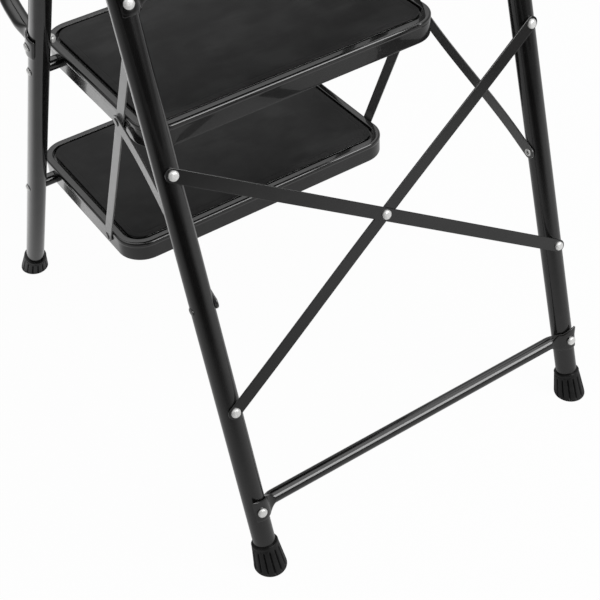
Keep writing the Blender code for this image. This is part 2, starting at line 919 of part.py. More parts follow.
def make_strut(label, side):
    top, along, length = strut_frame(side)
    mesh = plate_mesh(strip_outline(length, strut_width), [], strut_thickness)
    offset = (strut_foot_x - strut_top_x) * side
    stations = [length * (step + 0.7) / 8 for step in range(8)]
    bend_plate(mesh, stations, lambda x: offset * smooth((x / length - 0.1) / 0.8))
    origin = Vector((side * strut_top_x, top.y, top.z))
    mesh.transform(axes_matrix(origin, along, across.cross(along), across))
    strut = add_object("strut_" + label, mesh, black_paint())
    eye = Vector((side * strut_foot_x, top.y, top.z)) + along * length
    reach = across * strut_thickness
    drill(strut, "strut_eye_" + label, [(eye - reach, eye + reach, link_pin_radius + fit)])
    # the free eye is closed by a short rivet set in the strut itself
    head = rivet_mesh(link_head_radius, strut_head_height, link_pin_radius, strut_thickness / 2)
    seat = Vector((side * (strut_top_x + strut_thickness / 2 - set_depth), top.y, top.z))
    head.transform(along_matrix(seat, across * side))
    cut(strut, "strut_head_" + label, head, "UNION")
    return strut


def make_strut_pin(label, side):
    foot = strut_foot()
    leg = rear_axis(side, strut_foot_height)
    inner_x = strut_foot_x - strut_thickness / 2 - fit
    outer_x = abs(leg.x) + rear_tube_radius + fit
    mesh = rivet_mesh(rivet_head_radius, rivet_head_height, link_pin_radius, outer_x - inner_x,
                      pin_tail_radius, pin_tail_height)
    seat = Vector((side * outer_x, foot.y, foot.z))
    add_fastener("strut_foot_pin_" + label, mesh, seat, across * side)


# Rear frame
def rear_rivet_points(side):
    heights = (lower_bar_height, upper_bar_height, brace_high, brace_low)
    return [rear_axis(side, height) for height in heights]


def make_rear_leg(label, side):
    name = "rear_leg_" + label
    start = rear_axis(side, tube_end_height)
    knee = rear_axis(side, rear_knee_height)
    hinge = rear_axis(side, hinge_height)
    end = hinge + (hinge - knee).normalized() * rear_tube_overrun
    leg = add_object(name, tube_mesh([start, knee, end], rear_tube_radius), black_paint())
    bores = []
    for centre in rear_rivet_points(side):
        bores.append((centre, centre + rear_back * rear_tube_radius * 2, rivet_shank_radius + fit))
    foot = rear_axis(side, strut_foot_height)
    bores.append(through_leg(foot, rear_tube_radius, across, link_pin_radius + fit))
    drill(leg, name + "_bores", bores)
    drill(leg, name + "_hinge_bore", [through_leg(hinge, rear_tube_radius, across, hinge_pin_radius + fit)],
          hinge_steps)
    return leg


def rear_bar_centres(height):
    leg = rear_axis(right, height)
    flat, flatness = saddle_path(-(rear_tube_radius + bar_end_run), 0.0, 26, -50, rear_tube_radius)
    centres = []
    for point in flat:
        # the path's own axes are turned so that its tube runs inwards and its saddle lies behind
        centres.append(leg + across * point.y + rear_back * point.x)
    mirrored = [Vector((-point.x, point.y, point.z)) for point in reversed(centres)]
    shares = flatness + list(reversed(flatness))
    return centres + mirrored, shares


def make_rear_bar(name, height):
    centres, shares = rear_bar_centres(height)
    sections = [pressed_section(bar_radius, pressed_width, share) for share in shares]
    bar = add_object(name, swept_mesh(centres, rear_back, sections), black_paint())
    bores = []
    for side in sides.values():
        centre = rear_axis(side, height)
        start = centre + rear_back * (rear_tube_radius - pressed_thickness)
        end = centre + rear_back * (rear_tube_radius + pressed_thickness * 4)
        bores.append((start, end, rivet_shank_radius + fit))
    drill(bar, name + "_bores", bores)
    return bar


def brace_ends(side):
    # from the high rivet on one side to the low rivet on the other
    lift = rear_back * (rear_tube_radius + fit + brace_thickness / 2)
    return rear_axis(side, brace_high) + lift, rear_axis(-side, brace_low) + lift


def brace_crossing():
    # both straps lie in the plane of the legs, and cross on the centre line
    high, low = brace_ends(right)
    share = high.x / (high.x - low.x)
    return high + (low - high) * share


def make_brace(name, side, lift):
    high, low = brace_ends(side)
    along = (low - high).normalized()
    length = (low - high).length
    middle = (brace_crossing() - high).length
    mesh = plate_mesh(strip_outline(length, brace_width, brace_end_margin), [], brace_thickness)
    stations = [middle + place for place in (-0.2, -0.13, -0.07, -brace_flat, brace_flat, 0.07, 0.13, 0.2)]
    rise = brace_bow - brace_flat
    bend_plate(mesh, stations, lambda x: lift * smooth((brace_bow - abs(x - middle)) / rise))
    mesh.transform(axes_matrix(high, along, rear_back.cross(along), rear_back))
    brace = add_object(name, mesh, black_paint())
    reach = rear_back * (brace_thickness + abs(lift))
    places = (high, low, brace_crossing())
    bores = [(place - reach, place + reach, rivet_shank_radius + fit) for place in places]
    drill(brace, name + "_bores", bores)
    return brace


def make_brace_rivets():
    lift = rear_tube_radius + 2 * fit + brace_thickness
    length = brace_thickness + 2 * fit + rivet_depth
    for label, side in sides.items():
        for place, height in (("high", brace_high), ("low", brace_low)):
            mesh = rivet_mesh(rivet_head_radius, rivet_head_height, rivet_shank_radius, length)
            seat = rear_axis(side, height) + rear_back * lift
            add_fastener("brace_rivet_%s_%s" % (place, label), mesh, seat, rear_back)
    centre = brace_crossing() + rear_back * (brace_thickness / 2 + fit)
    mesh = rivet_mesh(rivet_head_radius, rivet_head_height, rivet_shank_radius, 2 * brace_thickness + 3 * fit,
                      set_tail_radius, set_tail_height)
    add_fastener("brace_centre_rivet", mesh, centre, rear_back)


def make_rear_bar_rivets(name, height):
    lift = rear_tube_radius + 2 * fit + pressed_thickness
    for label, side in sides.items():
        length = pressed_thickness + 2 * fit + rivet_depth
        mesh = rivet_mesh(rivet_head_radius, rivet_head_height, rivet_shank_radius, length)
        seat = rear_axis(side, height) + rear_back * lift
        add_fastener("%s_rivet_%s" % (name, label), mesh, seat, rear_back)


# Build every piece
make_front_frame()
make_hoop_grip()
for index in range(tread_count):
    make_front_bar(index)
    make_pan(index)
    make_mat(index)
    make_tread_rivets(index)
for label, side in sides.items():
    front_leg_up = (front_axis(side, front_knee_height) - front_axis(side, 0)).normalized()
    rear_leg_up = (rear_axis(side, rear_knee_height) - rear_axis(side, 0)).normalized()
    make_foot("front_foot_" + label, front_axis(side, 0), front_leg_up, front_tube_radius,
              front_axis(side, tube_end_height))
    make_foot("rear_foot_" + label, rear_axis(side, 0), rear_leg_up, rear_tube_radius,
              rear_axis(side, tube_end_height))
    make_bar_bolts(label, side)
    make_handrail(label, side)
    make_rail_bolts(label, side)
    make_rail_grip(label, side)
    make_bracket(label, side)
    make_hinge_pin(label, side)
    make_link(label, side)
    make_strut(label, side)
    make_strut_pin(label, side)
    make_rear_leg(label, side)
make_rear_bar("rear_lower_crossbar", lower_bar_height)
make_rear_bar("rear_upper_crossbar", upper_bar_height)
make_rear_bar_rivets("lower_crossbar", lower_bar_height)
make_rear_bar_rivets("upper_crossbar", upper_bar_height)
make_brace("cross_brace_outer", right, 0.0)
make_brace("cross_brace_inner", left, -brace_thickness - fit)
make_brace_rivets()


# Group the pieces under an empty on each joint's axis
def joint_empty(name, point, members):
    empty = bpy.data.objects.new(name, None)
    empty.empty_display_size = 0.03
    stool.objects.link(empty)
    empty.matrix_world = Matrix.Translation(point)
    for member in members:
        piece = bpy.data.objects[member]
        piece.parent = empty
        piece.matrix_parent_inverse = Matrix.Translation(point).inverted()


rear_members = ["rear_lower_crossbar", "rear_upper_crossbar", "cross_brace_inner", "cross_brace_outer",
                "brace_centre_rivet"]
for label in sides:
    rear_members += [base + label for base in (
        "rear_leg_", "rear_foot_", "lower_crossbar_rivet_", "upper_crossbar_rivet_", "brace_rivet_high_",
        "brace_rivet_low_", "strut_foot_pin_")]
    joint_empty("link_axis_" + label, link_point(0), ["link_strap_" + label])
    joint_empty("strut_axis_" + label, strut_foot(), ["strut_" + label])
joint_empty("rear_frame_axis", hinge_point(), rear_members)
for index in range(tread_count):
    tread = tread_name(index)
    tread_members = [tread + ending for ending in ("_pan", "_mat", "_rivet_right", "_rivet_left")]
    joint_empty(tread + "_axis", bar_point(index), tread_members)
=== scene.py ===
import math

import bpy
import numpy as np
from mathutils import Matrix


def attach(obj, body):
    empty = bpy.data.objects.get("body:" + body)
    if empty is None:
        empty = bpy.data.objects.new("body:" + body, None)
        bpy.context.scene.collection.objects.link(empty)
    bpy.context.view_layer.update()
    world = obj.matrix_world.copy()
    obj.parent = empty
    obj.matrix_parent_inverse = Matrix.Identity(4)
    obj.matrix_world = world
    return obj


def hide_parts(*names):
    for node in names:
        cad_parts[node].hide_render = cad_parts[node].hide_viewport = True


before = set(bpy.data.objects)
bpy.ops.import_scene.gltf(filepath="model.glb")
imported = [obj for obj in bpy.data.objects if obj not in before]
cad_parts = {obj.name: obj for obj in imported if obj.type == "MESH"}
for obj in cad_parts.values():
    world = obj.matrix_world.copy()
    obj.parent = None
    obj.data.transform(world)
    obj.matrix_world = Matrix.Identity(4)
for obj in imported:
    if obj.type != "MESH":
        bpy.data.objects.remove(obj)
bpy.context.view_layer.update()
print("frame loaded,", len(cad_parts), "nodes")

# ---- places shared by all pieces, in metres, the same as in the part's source
stance = {
    "footSpread": 0.6494, "frontLean": 0.4511, "rearLean": 0.2794,
    "frontHalfWidth": 0.2253, "frontTaper": 0.0105, "frontKnee": 0.70,
    "rearHalfWidth": 0.2292, "rearTaper": 0.0087, "rearKnee": 0.68,
    "frontTube": 0.0126, "rearTube": 0.0131, "bar": 0.0081,
    "footRim": 0.0193, "fit": 0.0003, "hingeOffset": 0.040,
}
fit, frontTube, rearTube = stance["fit"], stance["frontTube"], stance["rearTube"]
tread = {
    "firstTop": 0.224, "pitch": 0.2289, "width": 0.3936, "depth": 0.2654, "nose": 0.0494,
    "corner": 0.0347, "skirt": 0.027, "sheet": 0.0012, "barDrop": 0.0165, "count": 3,
    "linkBack": 0.1582, "linkRise": 0.0038,
}
sides = {"right": 1, "left": -1}
across = np.array((1.0, 0.0, 0.0))


def unit(vector):
    vector = np.asarray(vector, float)
    return vector / np.linalg.norm(vector, axis=-1, keepdims=True)


frontUp = unit((0, stance["frontLean"], 1))
frontBack = unit((0, 1, -stance["frontLean"]))
rearUp = unit((0, -stance["rearLean"], 1))
rearBack = unit((0, 1, stance["rearLean"]))
soleOverhang = math.hypot(1, stance["frontLean"]) - math.hypot(1, stance["rearLean"])
originShift = stance["footRim"] * soleOverhang / 2
openingAngle = math.atan(stance["frontLean"]) + math.atan(stance["rearLean"])
meetingHeight = stance["footSpread"] / (stance["frontLean"] + stance["rearLean"])
hingeHeight = meetingHeight - stance["hingeOffset"] / math.sin(openingAngle) * rearUp[2]
hingeX = stance["frontHalfWidth"] - stance["frontTaper"] * stance["frontKnee"]


def frontAxis(side, height):
    # x falls by taper * height up to the knee, y grows by lean * height
    x = stance["frontHalfWidth"] - stance["frontTaper"] * min(height, stance["frontKnee"])
    y = originShift - stance["footSpread"] / 2 + stance["frontLean"] * height
    return np.array((side * x, y, height))


def rearAxis(side, height):
    # as the front leg, and above the knee x runs straight to the hinge
    x = stance["rearHalfWidth"] - stance["rearTaper"] * min(height, stance["rearKnee"])
    if height > stance["rearKnee"]:
        x += (hingeX - x) * (height - stance["rearKnee"]) / (hingeHeight - stance["rearKnee"])
    y = originShift + stance["footSpread"] / 2 - stance["rearLean"] * height
    return np.array((side * x, y, height))


def treadTop(index):
    return tread["firstTop"] + index * tread["pitch"]


def barPoint(index):
    height = treadTop(index) - tread["barDrop"]
    return frontAxis(1, height) * (0, 1, 1)


def linkPoint(index):
    return barPoint(index) + (0, tread["linkBack"], tread["linkRise"])


def treadName(index):
    return "platform" if index == tread["count"] - 1 else "tread_%d" % (index + 1)


# ---- shader values written as sums
class Value:
    # wraps one output socket, so that +, -, * and 1 - x add the Math nodes
    def __init__(self, tree, socket=None):
        self.tree = tree
        self.socket = socket

    def node(self, kind, settings, inputs, output=0):
        made = self.tree.nodes.new(kind)
        for key, setting in settings.items():
            setattr(made, key, setting)
        for key, value in inputs.items():
            if isinstance(value, Value):
                self.tree.links.new(value.socket, made.inputs[key])
            else:
                made.inputs[key].default_value = value
        return Value(self.tree, made.outputs[output])

    def math(self, operation, first, second):
        return self.node("ShaderNodeMath", {"operation": operation}, {0: first, 1: second})

    def blend(self, factor, dark, light):
        # dark where the factor is 0, light where it is 1; either is a colour or another value
        ends = [end if isinstance(end, Value) else (*end, 1) for end in (dark, light)]
        return self.node("ShaderNodeMix", {"data_type": "RGBA"}, {0: factor, 6: ends[0], 7: ends[1]}, 2)

    def __add__(self, other):
        return self.math("ADD", self, other)

    def __sub__(self, other):
        return self.math("SUBTRACT", self, other)

    def __rsub__(self, other):
        return self.math("SUBTRACT", other, self)

    def __mul__(self, other):
        return self.math("MULTIPLY", self, other)

    __radd__ = __add__

    def above(self, low, high):
        # 0 below low, 1 above high, smooth between
        return self.node("ShaderNodeMapRange", {"interpolation_type": "SMOOTHSTEP"},
                         {"Value": self, "From Min": low, "From Max": high})


class Finish(Value):
    # a Principled material, its steady numbers set on the shader's own sockets
    def __init__(self, name, constants):
        self.made = bpy.data.materials.new(name)
        self.made.use_nodes = True
        super().__init__(self.made.node_tree)
        self.shader = self.tree.nodes["Principled BSDF"]
        for key, value in constants.items():
            self.shader.inputs[key].default_value = value
        self.coords = self.node("ShaderNodeTexCoord", {}, {}, "Object")

    def noise(self, scale, detail):
        return self.node("ShaderNodeTexNoise", {}, {
            "Vector": self.coords, "Scale": scale, "Detail": detail})

    def cells(self, scale):
        return self.node("ShaderNodeTexVoronoi", {"feature": "F1"}, {"Vector": self.coords, "Scale": scale})

    def bump(self, height, strength, distance, under=None):
        inputs = {"Height": height, "Strength": strength, "Distance": distance}
        return self.node("ShaderNodeBump", {}, {**inputs, "Normal": under} if under else inputs)

    def feed(self, socket, value):
        self.tree.links.new(value.socket, self.shader.inputs[socket])

    def cover(self, look, share, rough, normal):
        # the colour goes from dark to light with the share
        self.feed("Base Color", self.blend(share, look["dark"], look["light"]))
        self.feed("Roughness", rough)
        self.feed("Normal", normal)
        return self.made


# per finish: darkest and lightest colour, least roughness and what patterns add to it, the patterns'
# shares of the light colour, the ranges that they are stretched from, and their repeats per metre
dust = {"speckRange": (0.70, 0.78), "speckShare": 0.3, "cloudRange": (0.35, 0.65), "cloudShare": 0.7}
gloss = {
    "dark": (0.0050, 0.0049, 0.0049), "light": (0.0092, 0.0089, 0.0088),
    "rough": 0.15, "cloudRough": 0.09, "speckRough": 0.15, "coat": 0.86, "coatSpread": 0.22,
    "cloud": 14.0, "peel": 820.0, "wave": 95.0, "speck": 2600.0,
}
# the links' and struts' colours, lighter than the gloss paint's, are painted reflection
paintedReflectionSatin = {
    "dark": (0.0300, 0.0295, 0.0290), "light": (0.0440, 0.0432, 0.0425),
    "rough": 0.24, "rubRough": 0.12, "speckRough": 0.12, "coat": 0.80, "coatSpread": 0.20,
    "cloud": 18.0, "peel": 760.0, "rub": 64.0, "speck": 2400.0,
}


def dusted(made, look):
    # a powder coat's slow cloud, its rare specks of dust and what both give to the colour
    cloud = made.noise(look["cloud"], 3.0)
    speck = made.noise(look["speck"], 1.0).above(*dust["speckRange"])
    slow = cloud.above(*dust["cloudRange"]) * dust["cloudShare"]
    return cloud, speck, slow + speck * dust["speckShare"]


def makeGloss(look):
    # gloss powder coat: a fine orange peel over slow waves, with faint dust in it
    made = Finish("glossPowderCoat", {"IOR": 1.5, "Coat Roughness": 0.035, "Coat IOR": 1.5})
    cloud, speck, share = dusted(made, look)
    wave = made.noise(look["wave"], 2.0)
    made.feed("Coat Weight", look["coat"] + wave * look["coatSpread"])
    return made.cover(look, share, look["rough"] + cloud * look["cloudRough"] + speck * look["speckRough"],
                      made.bump(made.noise(look["peel"], 2.0), 0.10, 0.0004, made.bump(wave, 0.10, 0.0010)))


def makePaintedReflectionSatin(look):
    # the duller, lighter copy of the black paint on the flat links and struts: its lighter colour is
    # painted reflection, its sheen greys it where it is seen at a slant, and rubbed patches vary its
    # roughness
    made = Finish("satinCoatWithPaintedReflection", {
        "IOR": 1.5, "Coat Roughness": 0.10, "Coat IOR": 1.5, "Sheen Weight": 1.0, "Sheen Roughness": 0.36})
    cloud, speck, share = dusted(made, look)
    made.feed("Coat Weight", look["coat"] + cloud * look["coatSpread"])
    rub = made.noise(look["rub"], 4.0)
    return made.cover(look, share, look["rough"] + rub * look["rubRough"] + speck * look["speckRough"],
                      made.bump(made.noise(look["peel"], 2.0), 0.10, 0.0004))


sheetRubber = {
    "dark": (0.0060, 0.0060, 0.0061), "light": (0.0420, 0.0420, 0.0422),
    "rough": 0.58, "smearRough": 0.14, "blotchRough": 0.08, "smearShare": 0.70, "blotchShare": 0.14,
    "grainShare": 0.12, "cloudRange": (0.40, 0.64), "smearRange": (0.36, 0.60), "blotchRange": (0.3, 0.7),
    "smear": (11.0, 30.0, 11.0), "cloud": 7.0, "blotch": 38.0, "grain": 1900.0, "pebble": 1150.0,
}


def makeSheetRubber(look):
    # moulded rubber sheet: fine pebble grain under faint smears, blotches and dust
    made = Finish("matRubber", {"IOR": 1.48, "Specular IOR Level": 0.40})
    stretched = made.node("ShaderNodeMapping", {}, {"Vector": made.coords, "Scale": look["smear"]})
    smear = made.node("ShaderNodeTexNoise", {}, {"Vector": stretched, "Scale": 1.0, "Detail": 3.0})
    blotch, grain = made.noise(look["blotch"], 3.0), made.noise(look["grain"], 2.0)
    pale = made.noise(look["cloud"], 2.0).above(*look["cloudRange"]) * smear.above(*look["smearRange"])
    share = pale * look["smearShare"] + blotch.above(*look["blotchRange"]) * look["blotchShare"]
    rough = look["rough"] + smear * look["smearRough"] - blotch * look["blotchRough"]
    return made.cover(look, share + grain * look["grainShare"], rough,
                      made.bump(made.cells(look["pebble"]), 0.22, 0.0003, made.bump(grain, 0.12, 0.0002)))


cupRubber = {
    "dark": (0.0070, 0.0070, 0.0071), "light": (0.0160, 0.0160, 0.0162),
    "rough": 0.30, "bloomRough": 0.14, "lowRough": 0.18, "bloomShare": 0.5, "lowShare": 0.3,
    "bloomRange": (0.35, 0.7), "lowRange": (0.0, 0.012), "bloom": 120.0, "grain": 1500.0,
}


def makeCupRubber(look):
    # moulded rubber of the feet, with patchy bloom, and lighter and rougher towards the floor
    made = Finish("footRubber", {"IOR": 1.5, "Specular IOR Level": 0.4})
    bloom = made.noise(look["bloom"], 4.0)
    height = made.node("ShaderNodeSeparateXYZ", {}, {0: made.coords}, 2)
    low = 1 - height.above(*look["lowRange"])
    return made.cover(look, bloom.above(*look["bloomRange"]) * look["bloomShare"] + low * look["lowShare"],
                      look["rough"] + bloom * look["bloomRough"] + low * look["lowRough"],
                      made.bump(made.noise(look["grain"], 3.0), 0.18, 0.0003))


sleeveFoam = {
    "dark": (0.0110, 0.0110, 0.0112), "light": (0.0210, 0.0210, 0.0214),
    "rough": 0.78, "softRough": 0.14, "cellShare": 0.9, "softShare": 0.3, "cell": 900.0, "soft": 160.0,
}


def makeFoam(look):
    # closed-cell foam: small cells, each with its own shade
    made = Finish("foamSleeve", {"IOR": 1.45, "Sheen Weight": 0.12})
    cell, soft = made.cells(look["cell"]), made.noise(look["soft"], 3.0)
    return made.cover(look, cell * look["cellShare"] + soft * look["softShare"],
                      look["rough"] + soft * look["softRough"],
                      made.bump(cell, 0.5, 0.0004, made.bump(soft, 0.25, 0.0006)))


plate = {
    "dark": (0.76, 0.76, 0.75), "light": (0.95, 0.95, 0.93), "rough": 0.26, "patchRough": 0.18,
    "spangleShare": 0.6, "patchShare": 0.4, "spangleRange": (0.3, 0.7), "spangle": 700.0, "patch": 240.0,
}


def makeZinc(look):
    # bright zinc plate, its frosted bloom let through as a part that isn't metallic
    made = Finish("zincPlate", {"Metallic": 0.34, "IOR": 1.6})
    spangle, patch = made.noise(look["spangle"], 3.0), made.noise(look["patch"], 2.0)
    share = spangle.above(*look["spangleRange"]) * look["spangleShare"] + patch * look["patchShare"]
    return made.cover(look, share, look["rough"] + patch * look["patchRough"],
                      made.bump(spangle, 0.12, 0.0002))


plastic = {
    "dark": (0.009, 0.009, 0.009), "light": (0.016, 0.016, 0.0162),
    "rough": 0.38, "cloudRough": 0.16, "cloud": 150.0, "grain": 2400.0,
}


def makePlastic(look):
    # moulded plastic with a light spark-eroded grain
    made = Finish("plasticPlug", {"IOR": 1.46})
    cloud = made.noise(look["cloud"], 3.0)
    return made.cover(look, cloud, look["rough"] + cloud * look["cloudRough"],
                      made.bump(made.noise(look["grain"], 2.0), 0.15, 0.0002))


# the links' and struts' paint is a lighter copy of the black paint, with painted reflection in its colour
paint, paintedReflectionPaint, matRubber = makeGloss(gloss), makePaintedReflectionSatin(paintedReflectionSatin), makeSheetRubber(sheetRubber)
footRubber, foam = makeCupRubber(cupRubber), makeFoam(sleeveFoam)
zinc, plug = makeZinc(plate), makePlastic(plastic)


def placed(name, data):
    made = bpy.data.objects.new(name, data)
    bpy.context.scene.collection.objects.link(made)
    return made


def faced(place, right, up):
    # the place and turn of a camera or lamp, whose own z axis is right x up
    axes = np.stack((right, up, np.cross(right, up)), axis=1)
    return Matrix.Translation(place) @ Matrix(axes.tolist()).to_4x4()


# ---- surfaces as grids of points
def addGrid(name, grids, body, surface, replaced=(), angle=38):
    # each grid is rows of closed rings, capped at both ends; its faces are turned to point outwards
    points, faces, start = [], [], 0
    for grid in grids:
        rows, columns = grid.shape[:2]
        index = np.arange(rows * columns).reshape(rows, columns)
        turned = np.roll(index, -1, axis=1)
        quads = np.stack((index[:-1], turned[:-1], turned[1:], index[1:]), axis=-1).reshape(-1, 4)
        flat = grid.reshape(-1, 3)
        middle = flat.mean(axis=0)
        corner = flat[quads] - middle
        volume = sum((corner[:, 0] * np.cross(corner[:, k], corner[:, k + 1])).sum() for k in (1, 2))
        caps = [index[0][::-1], index[-1]]
        if volume < 0:
            quads = quads[:, ::-1]
            caps = [cap[::-1] for cap in caps]
        faces += (quads + start).tolist() + [(cap + start).tolist() for cap in caps]
        points.append(flat)
        start += len(flat)
    mesh = bpy.data.meshes.new(name)
    mesh.from_pydata(np.concatenate(points).tolist(), [], faces)
    mesh.validate()
    mesh.shade_smooth()
    mesh.set_sharp_from_angle(angle=math.radians(angle))
    mesh.materials.append(surface)
    piece = placed(name, mesh)
    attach(piece, body)
    if replaced:
        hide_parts(*replaced)


def easeStep(t):
    # 3 t^2 - 2 t^3 between 0 and 1
    t = np.clip(t, 0, 1)
    return t * t * (3 - 2 * t)


def filleted(points, radii, steps=12):
    # a line whose corners become arcs: arc centre = corner + inward * radius / cos(half the turn)
    points = [np.asarray(point, float) for point in points]
    path = [points[0]]
    for before, corner, after, radius in zip(points, points[1:], points[2:], radii):
        arriving, leaving = unit(corner - before), unit(after - corner)
        turn = math.acos(np.clip(arriving @ leaving, -1, 1))
        if radius <= 0 or turn < 1e-4:
            path.append(corner)
            continue
        inward = unit(leaving - arriving)
        centre = corner + inward * radius / math.cos(turn / 2)
        angles = np.linspace(-turn / 2, turn / 2, steps + 1)[:, None]
        bisector = unit(arriving + leaving)
        path += list(centre - inward * radius * np.cos(angles) + bisector * radius * np.sin(angles))
    path.append(points[-1])
    return np.array(path)


def carriedNormals(tangents, normal):
    # the first normal carried along the path without twist
    normals = []
    for tangent in tangents:
        normal = unit(normal - tangent * (normal @ tangent))
        normals.append(normal)
    return np.array(normals)


def sweptGrid(path, firstNormal, thick, wide, power, count=40):
    # point = path + normal * thick * cos^(2/p) + side * wide * sin^(2/p)
    tangents = unit(np.gradient(path, axis=0))
    normals = carriedNormals(tangents, firstNormal)
    sideways = np.cross(tangents, normals)
    ones = np.ones(len(path))
    thick, wide, power = thick * ones, wide * ones, power * ones
    angles = (np.arange(count) + 0.5) * math.tau / count
    exponent = 2 / power[:, None]
    c = np.sign(np.cos(angles)) * np.abs(np.cos(angles)) ** exponent
    s = np.sign(np.sin(angles)) * np.abs(np.sin(angles)) ** exponent
    return (path[:, None] + normals[:, None] * (thick[:, None] * c)[..., None]
            + sideways[:, None] * (wide[:, None] * s)[..., None])


def tubeGrid(path, firstNormal, radius, count=48):
    return sweptGrid(path, firstNormal, radius, radius, 2.0, count)


def strapGrid(path, widthAxis, halfWidth, thickness, edge=0.0005, steps=3):
    # a flat bar: point = path + width axis * x + out * y, with (x, y) round a rounded rectangle
    tangents = unit(np.gradient(path, axis=0))
    out = unit(np.cross(widthAxis, tangents))
    edge = min(edge, thickness / 2 * 0.95)
    quarter = np.linspace(0, math.pi / 2, steps + 1)
    angles = np.concatenate([quarter + turn * math.pi / 2 for turn in range(4)])
    signX = np.repeat((1, -1, -1, 1), steps + 1)
    signY = np.repeat((1, 1, -1, -1), steps + 1)
    flatX = np.maximum(halfWidth[:, None] - edge, 0.00002) * signX
    x = flatX + np.minimum(halfWidth, edge)[:, None] * np.cos(angles)
    y = signY * (thickness / 2 - edge) + edge * np.sin(angles)
    # one more point beside each rounded edge keeps the wide faces' shading flat
    order = np.insert(np.arange(4 * (steps + 1)), (steps + 1, steps + 1, 3 * steps + 3, 3 * steps + 3),
                      (steps, steps + 1, 3 * steps + 2, 3 * steps + 3))
    x, y, signX = x[:, order], y[order], signX[order]
    inset = np.zeros(len(order))
    inset[[steps + 1, steps + 2, 3 * steps + 5, 3 * steps + 6]] = 0.0005
    x = x - signX * np.minimum(inset, halfWidth[:, None] * 0.3)
    return path[:, None] + np.asarray(widthAxis) * x[..., None] + out[:, None] * y[:, None]


def barStations(length, radius, overrun=0.0, extra=(), steps=12):
    # distances along a strap with half-round ends, and its half width there, sqrt(radius^2 - beyond^2)
    near = -overrun - radius * np.cos(np.linspace(0.06, math.pi / 2, steps))
    far = length - near[::-1]
    stations = np.concatenate((near, np.asarray(extra, float), far))
    beyond = np.clip(np.maximum(-overrun - stations, stations - length - overrun), 0, radius)
    return stations, np.sqrt(np.maximum(radius ** 2 - beyond ** 2, 1e-9))


def turnedGrid(profile, origin, axis, count=36):
    # a profile turned about an axis: point = origin + axis * height + spoke * radius
    profile = np.asarray(profile, float)
    axis = unit(axis)
    helper = across if abs(axis[0]) < 0.8 else np.array((0.0, 0.0, 1.0))
    first = unit(helper - axis * (helper @ axis))
    second = np.cross(axis, first)
    angles = np.arange(count) * math.tau / count
    spoke = first * np.cos(angles)[:, None] + second * np.sin(angles)[:, None]
    return origin + axis * profile[:, None, 1:2] + spoke[None] * profile[:, None, 0:1]


def roundedProfile(points, radii, steps):
    # a flat profile of (radius, height) with its corners rounded
    return filleted([(r, h, 0) for r, h in points], radii, steps)[:, :2]


# ---- the camera, solved from the photograph's legs, rivets and tread corners
view = {
    "eye": (0.6372, 1.10957, 1.2171), "forward": (-0.38067, -0.63165, -0.67535), "roll": -3.895,
    "lens": 76.644, "sensor": 36.0, "shift": (-0.0008, -0.0020), "nearest": 0.02,
}


def makeCamera():
    # right and up are the level pair turned about the view by the roll
    forward = unit(view["forward"])
    right = unit(np.cross(forward, (0, 0, 1)))
    up = np.cross(right, forward)
    c, s = math.cos(math.radians(view["roll"])), math.sin(math.radians(view["roll"]))
    data = bpy.data.cameras.new("camera")
    data.lens = view["lens"]
    data.sensor_width = view["sensor"]
    data.shift_x, data.shift_y = view["shift"]
    data.clip_start = view["nearest"]
    camera = placed("camera", data)
    camera.matrix_world = faced(view["eye"], c * right + s * up, -s * right + c * up)
    bpy.context.scene.camera = camera


makeCamera()
print("camera placed")

# ---- front frame: one tube bent into a tall hoop
hoop = {
    "top": 1.13, "bend": 0.065, "kneeBend": 1.2, "tubeEnd": 0.0065,
    "gripRadius": 0.0175, "gripLength": 0.22,
}


def makeFrontFrame():
    # up one leg, over the hoop and down the other, with an arc at both knees and both upper corners
    line = [frontAxis(side, height) for side, heights in (
        (1, (hoop["tubeEnd"], stance["frontKnee"], hoop["top"])),
        (-1, (hoop["top"], stance["frontKnee"], hoop["tubeEnd"]))) for height in heights]
    path = filleted(line, (hoop["kneeBend"], hoop["bend"], hoop["bend"], hoop["kneeBend"]), 28)
    addGrid("front_frame_tube", [tubeGrid(path, frontBack, frontTube)], "front", paint,
            ["front_frame"])


def sleeveProfile(inner, outer, length):
    # a foam sleeve: rolled ends, and a barely fuller middle
    half = length / 2
    rise = np.linspace(0, math.pi / 2, 7)
    end = outer - inner
    endRadius = inner + end * np.sin(rise)
    endHeight = -half + end * 0.8 * (1 - np.cos(rise))
    body = np.linspace(-half + end, half - end, 16)
    middle = np.full(len(body), outer)
    radius = np.concatenate(([inner - 0.0006], endRadius, middle, endRadius[::-1], [inner - 0.0006]))
    height = np.concatenate(([-half], endHeight, body, -endHeight[::-1], [half]))
    return np.stack((radius, height), axis=1)


def makeHoopGrip():
    top = frontAxis(1, hoop["top"]) * (0, 1, 1)
    profile = sleeveProfile(frontTube, hoop["gripRadius"], hoop["gripLength"])
    addGrid("hoop_foam_grip", [turnedGrid(profile, top, across, 48)], "front", foam, ["hoop_grip"])


makeFrontFrame()
makeHoopGrip()

# ---- fasteners: domed zinc heads, each with the dark dished seat that the press leaves
rivet = {
    "head": 0.0056, "rise": 0.0032, "seat": 0.0068, "seatRise": 0.0007, "lift": 0.0003,
    "linkHead": 0.0048, "linkRise": 0.0010, "linkSink": 0.0004, "tailRise": 0.0012, "strutRise": 0.0014,
    "hingeHead": 0.0075, "hingeTail": 0.0069,
    "pinRing": 0.0046, "pinRise": 0.0014, "pinHole": 0.0021, "pinFlat": 0.0007, "pinSink": 0.0010,
}


def domeProfile(radius, rise, sink, flat=0.30):
    # a flat crown, height = rise * (0.22 + 0.78 cos) down to the rim, then the sunk base
    angles = np.linspace(0, math.pi / 2, 12)
    r = radius * (flat + (1 - flat) * np.sin(angles))
    h = rise * (0.22 + 0.78 * np.cos(angles))
    return np.concatenate(([(radius * 0.04, rise), (radius * flat * 0.6, rise)], np.stack((r, h), axis=1),
                           [(radius, 0.0), (radius * 0.98, -sink)]))


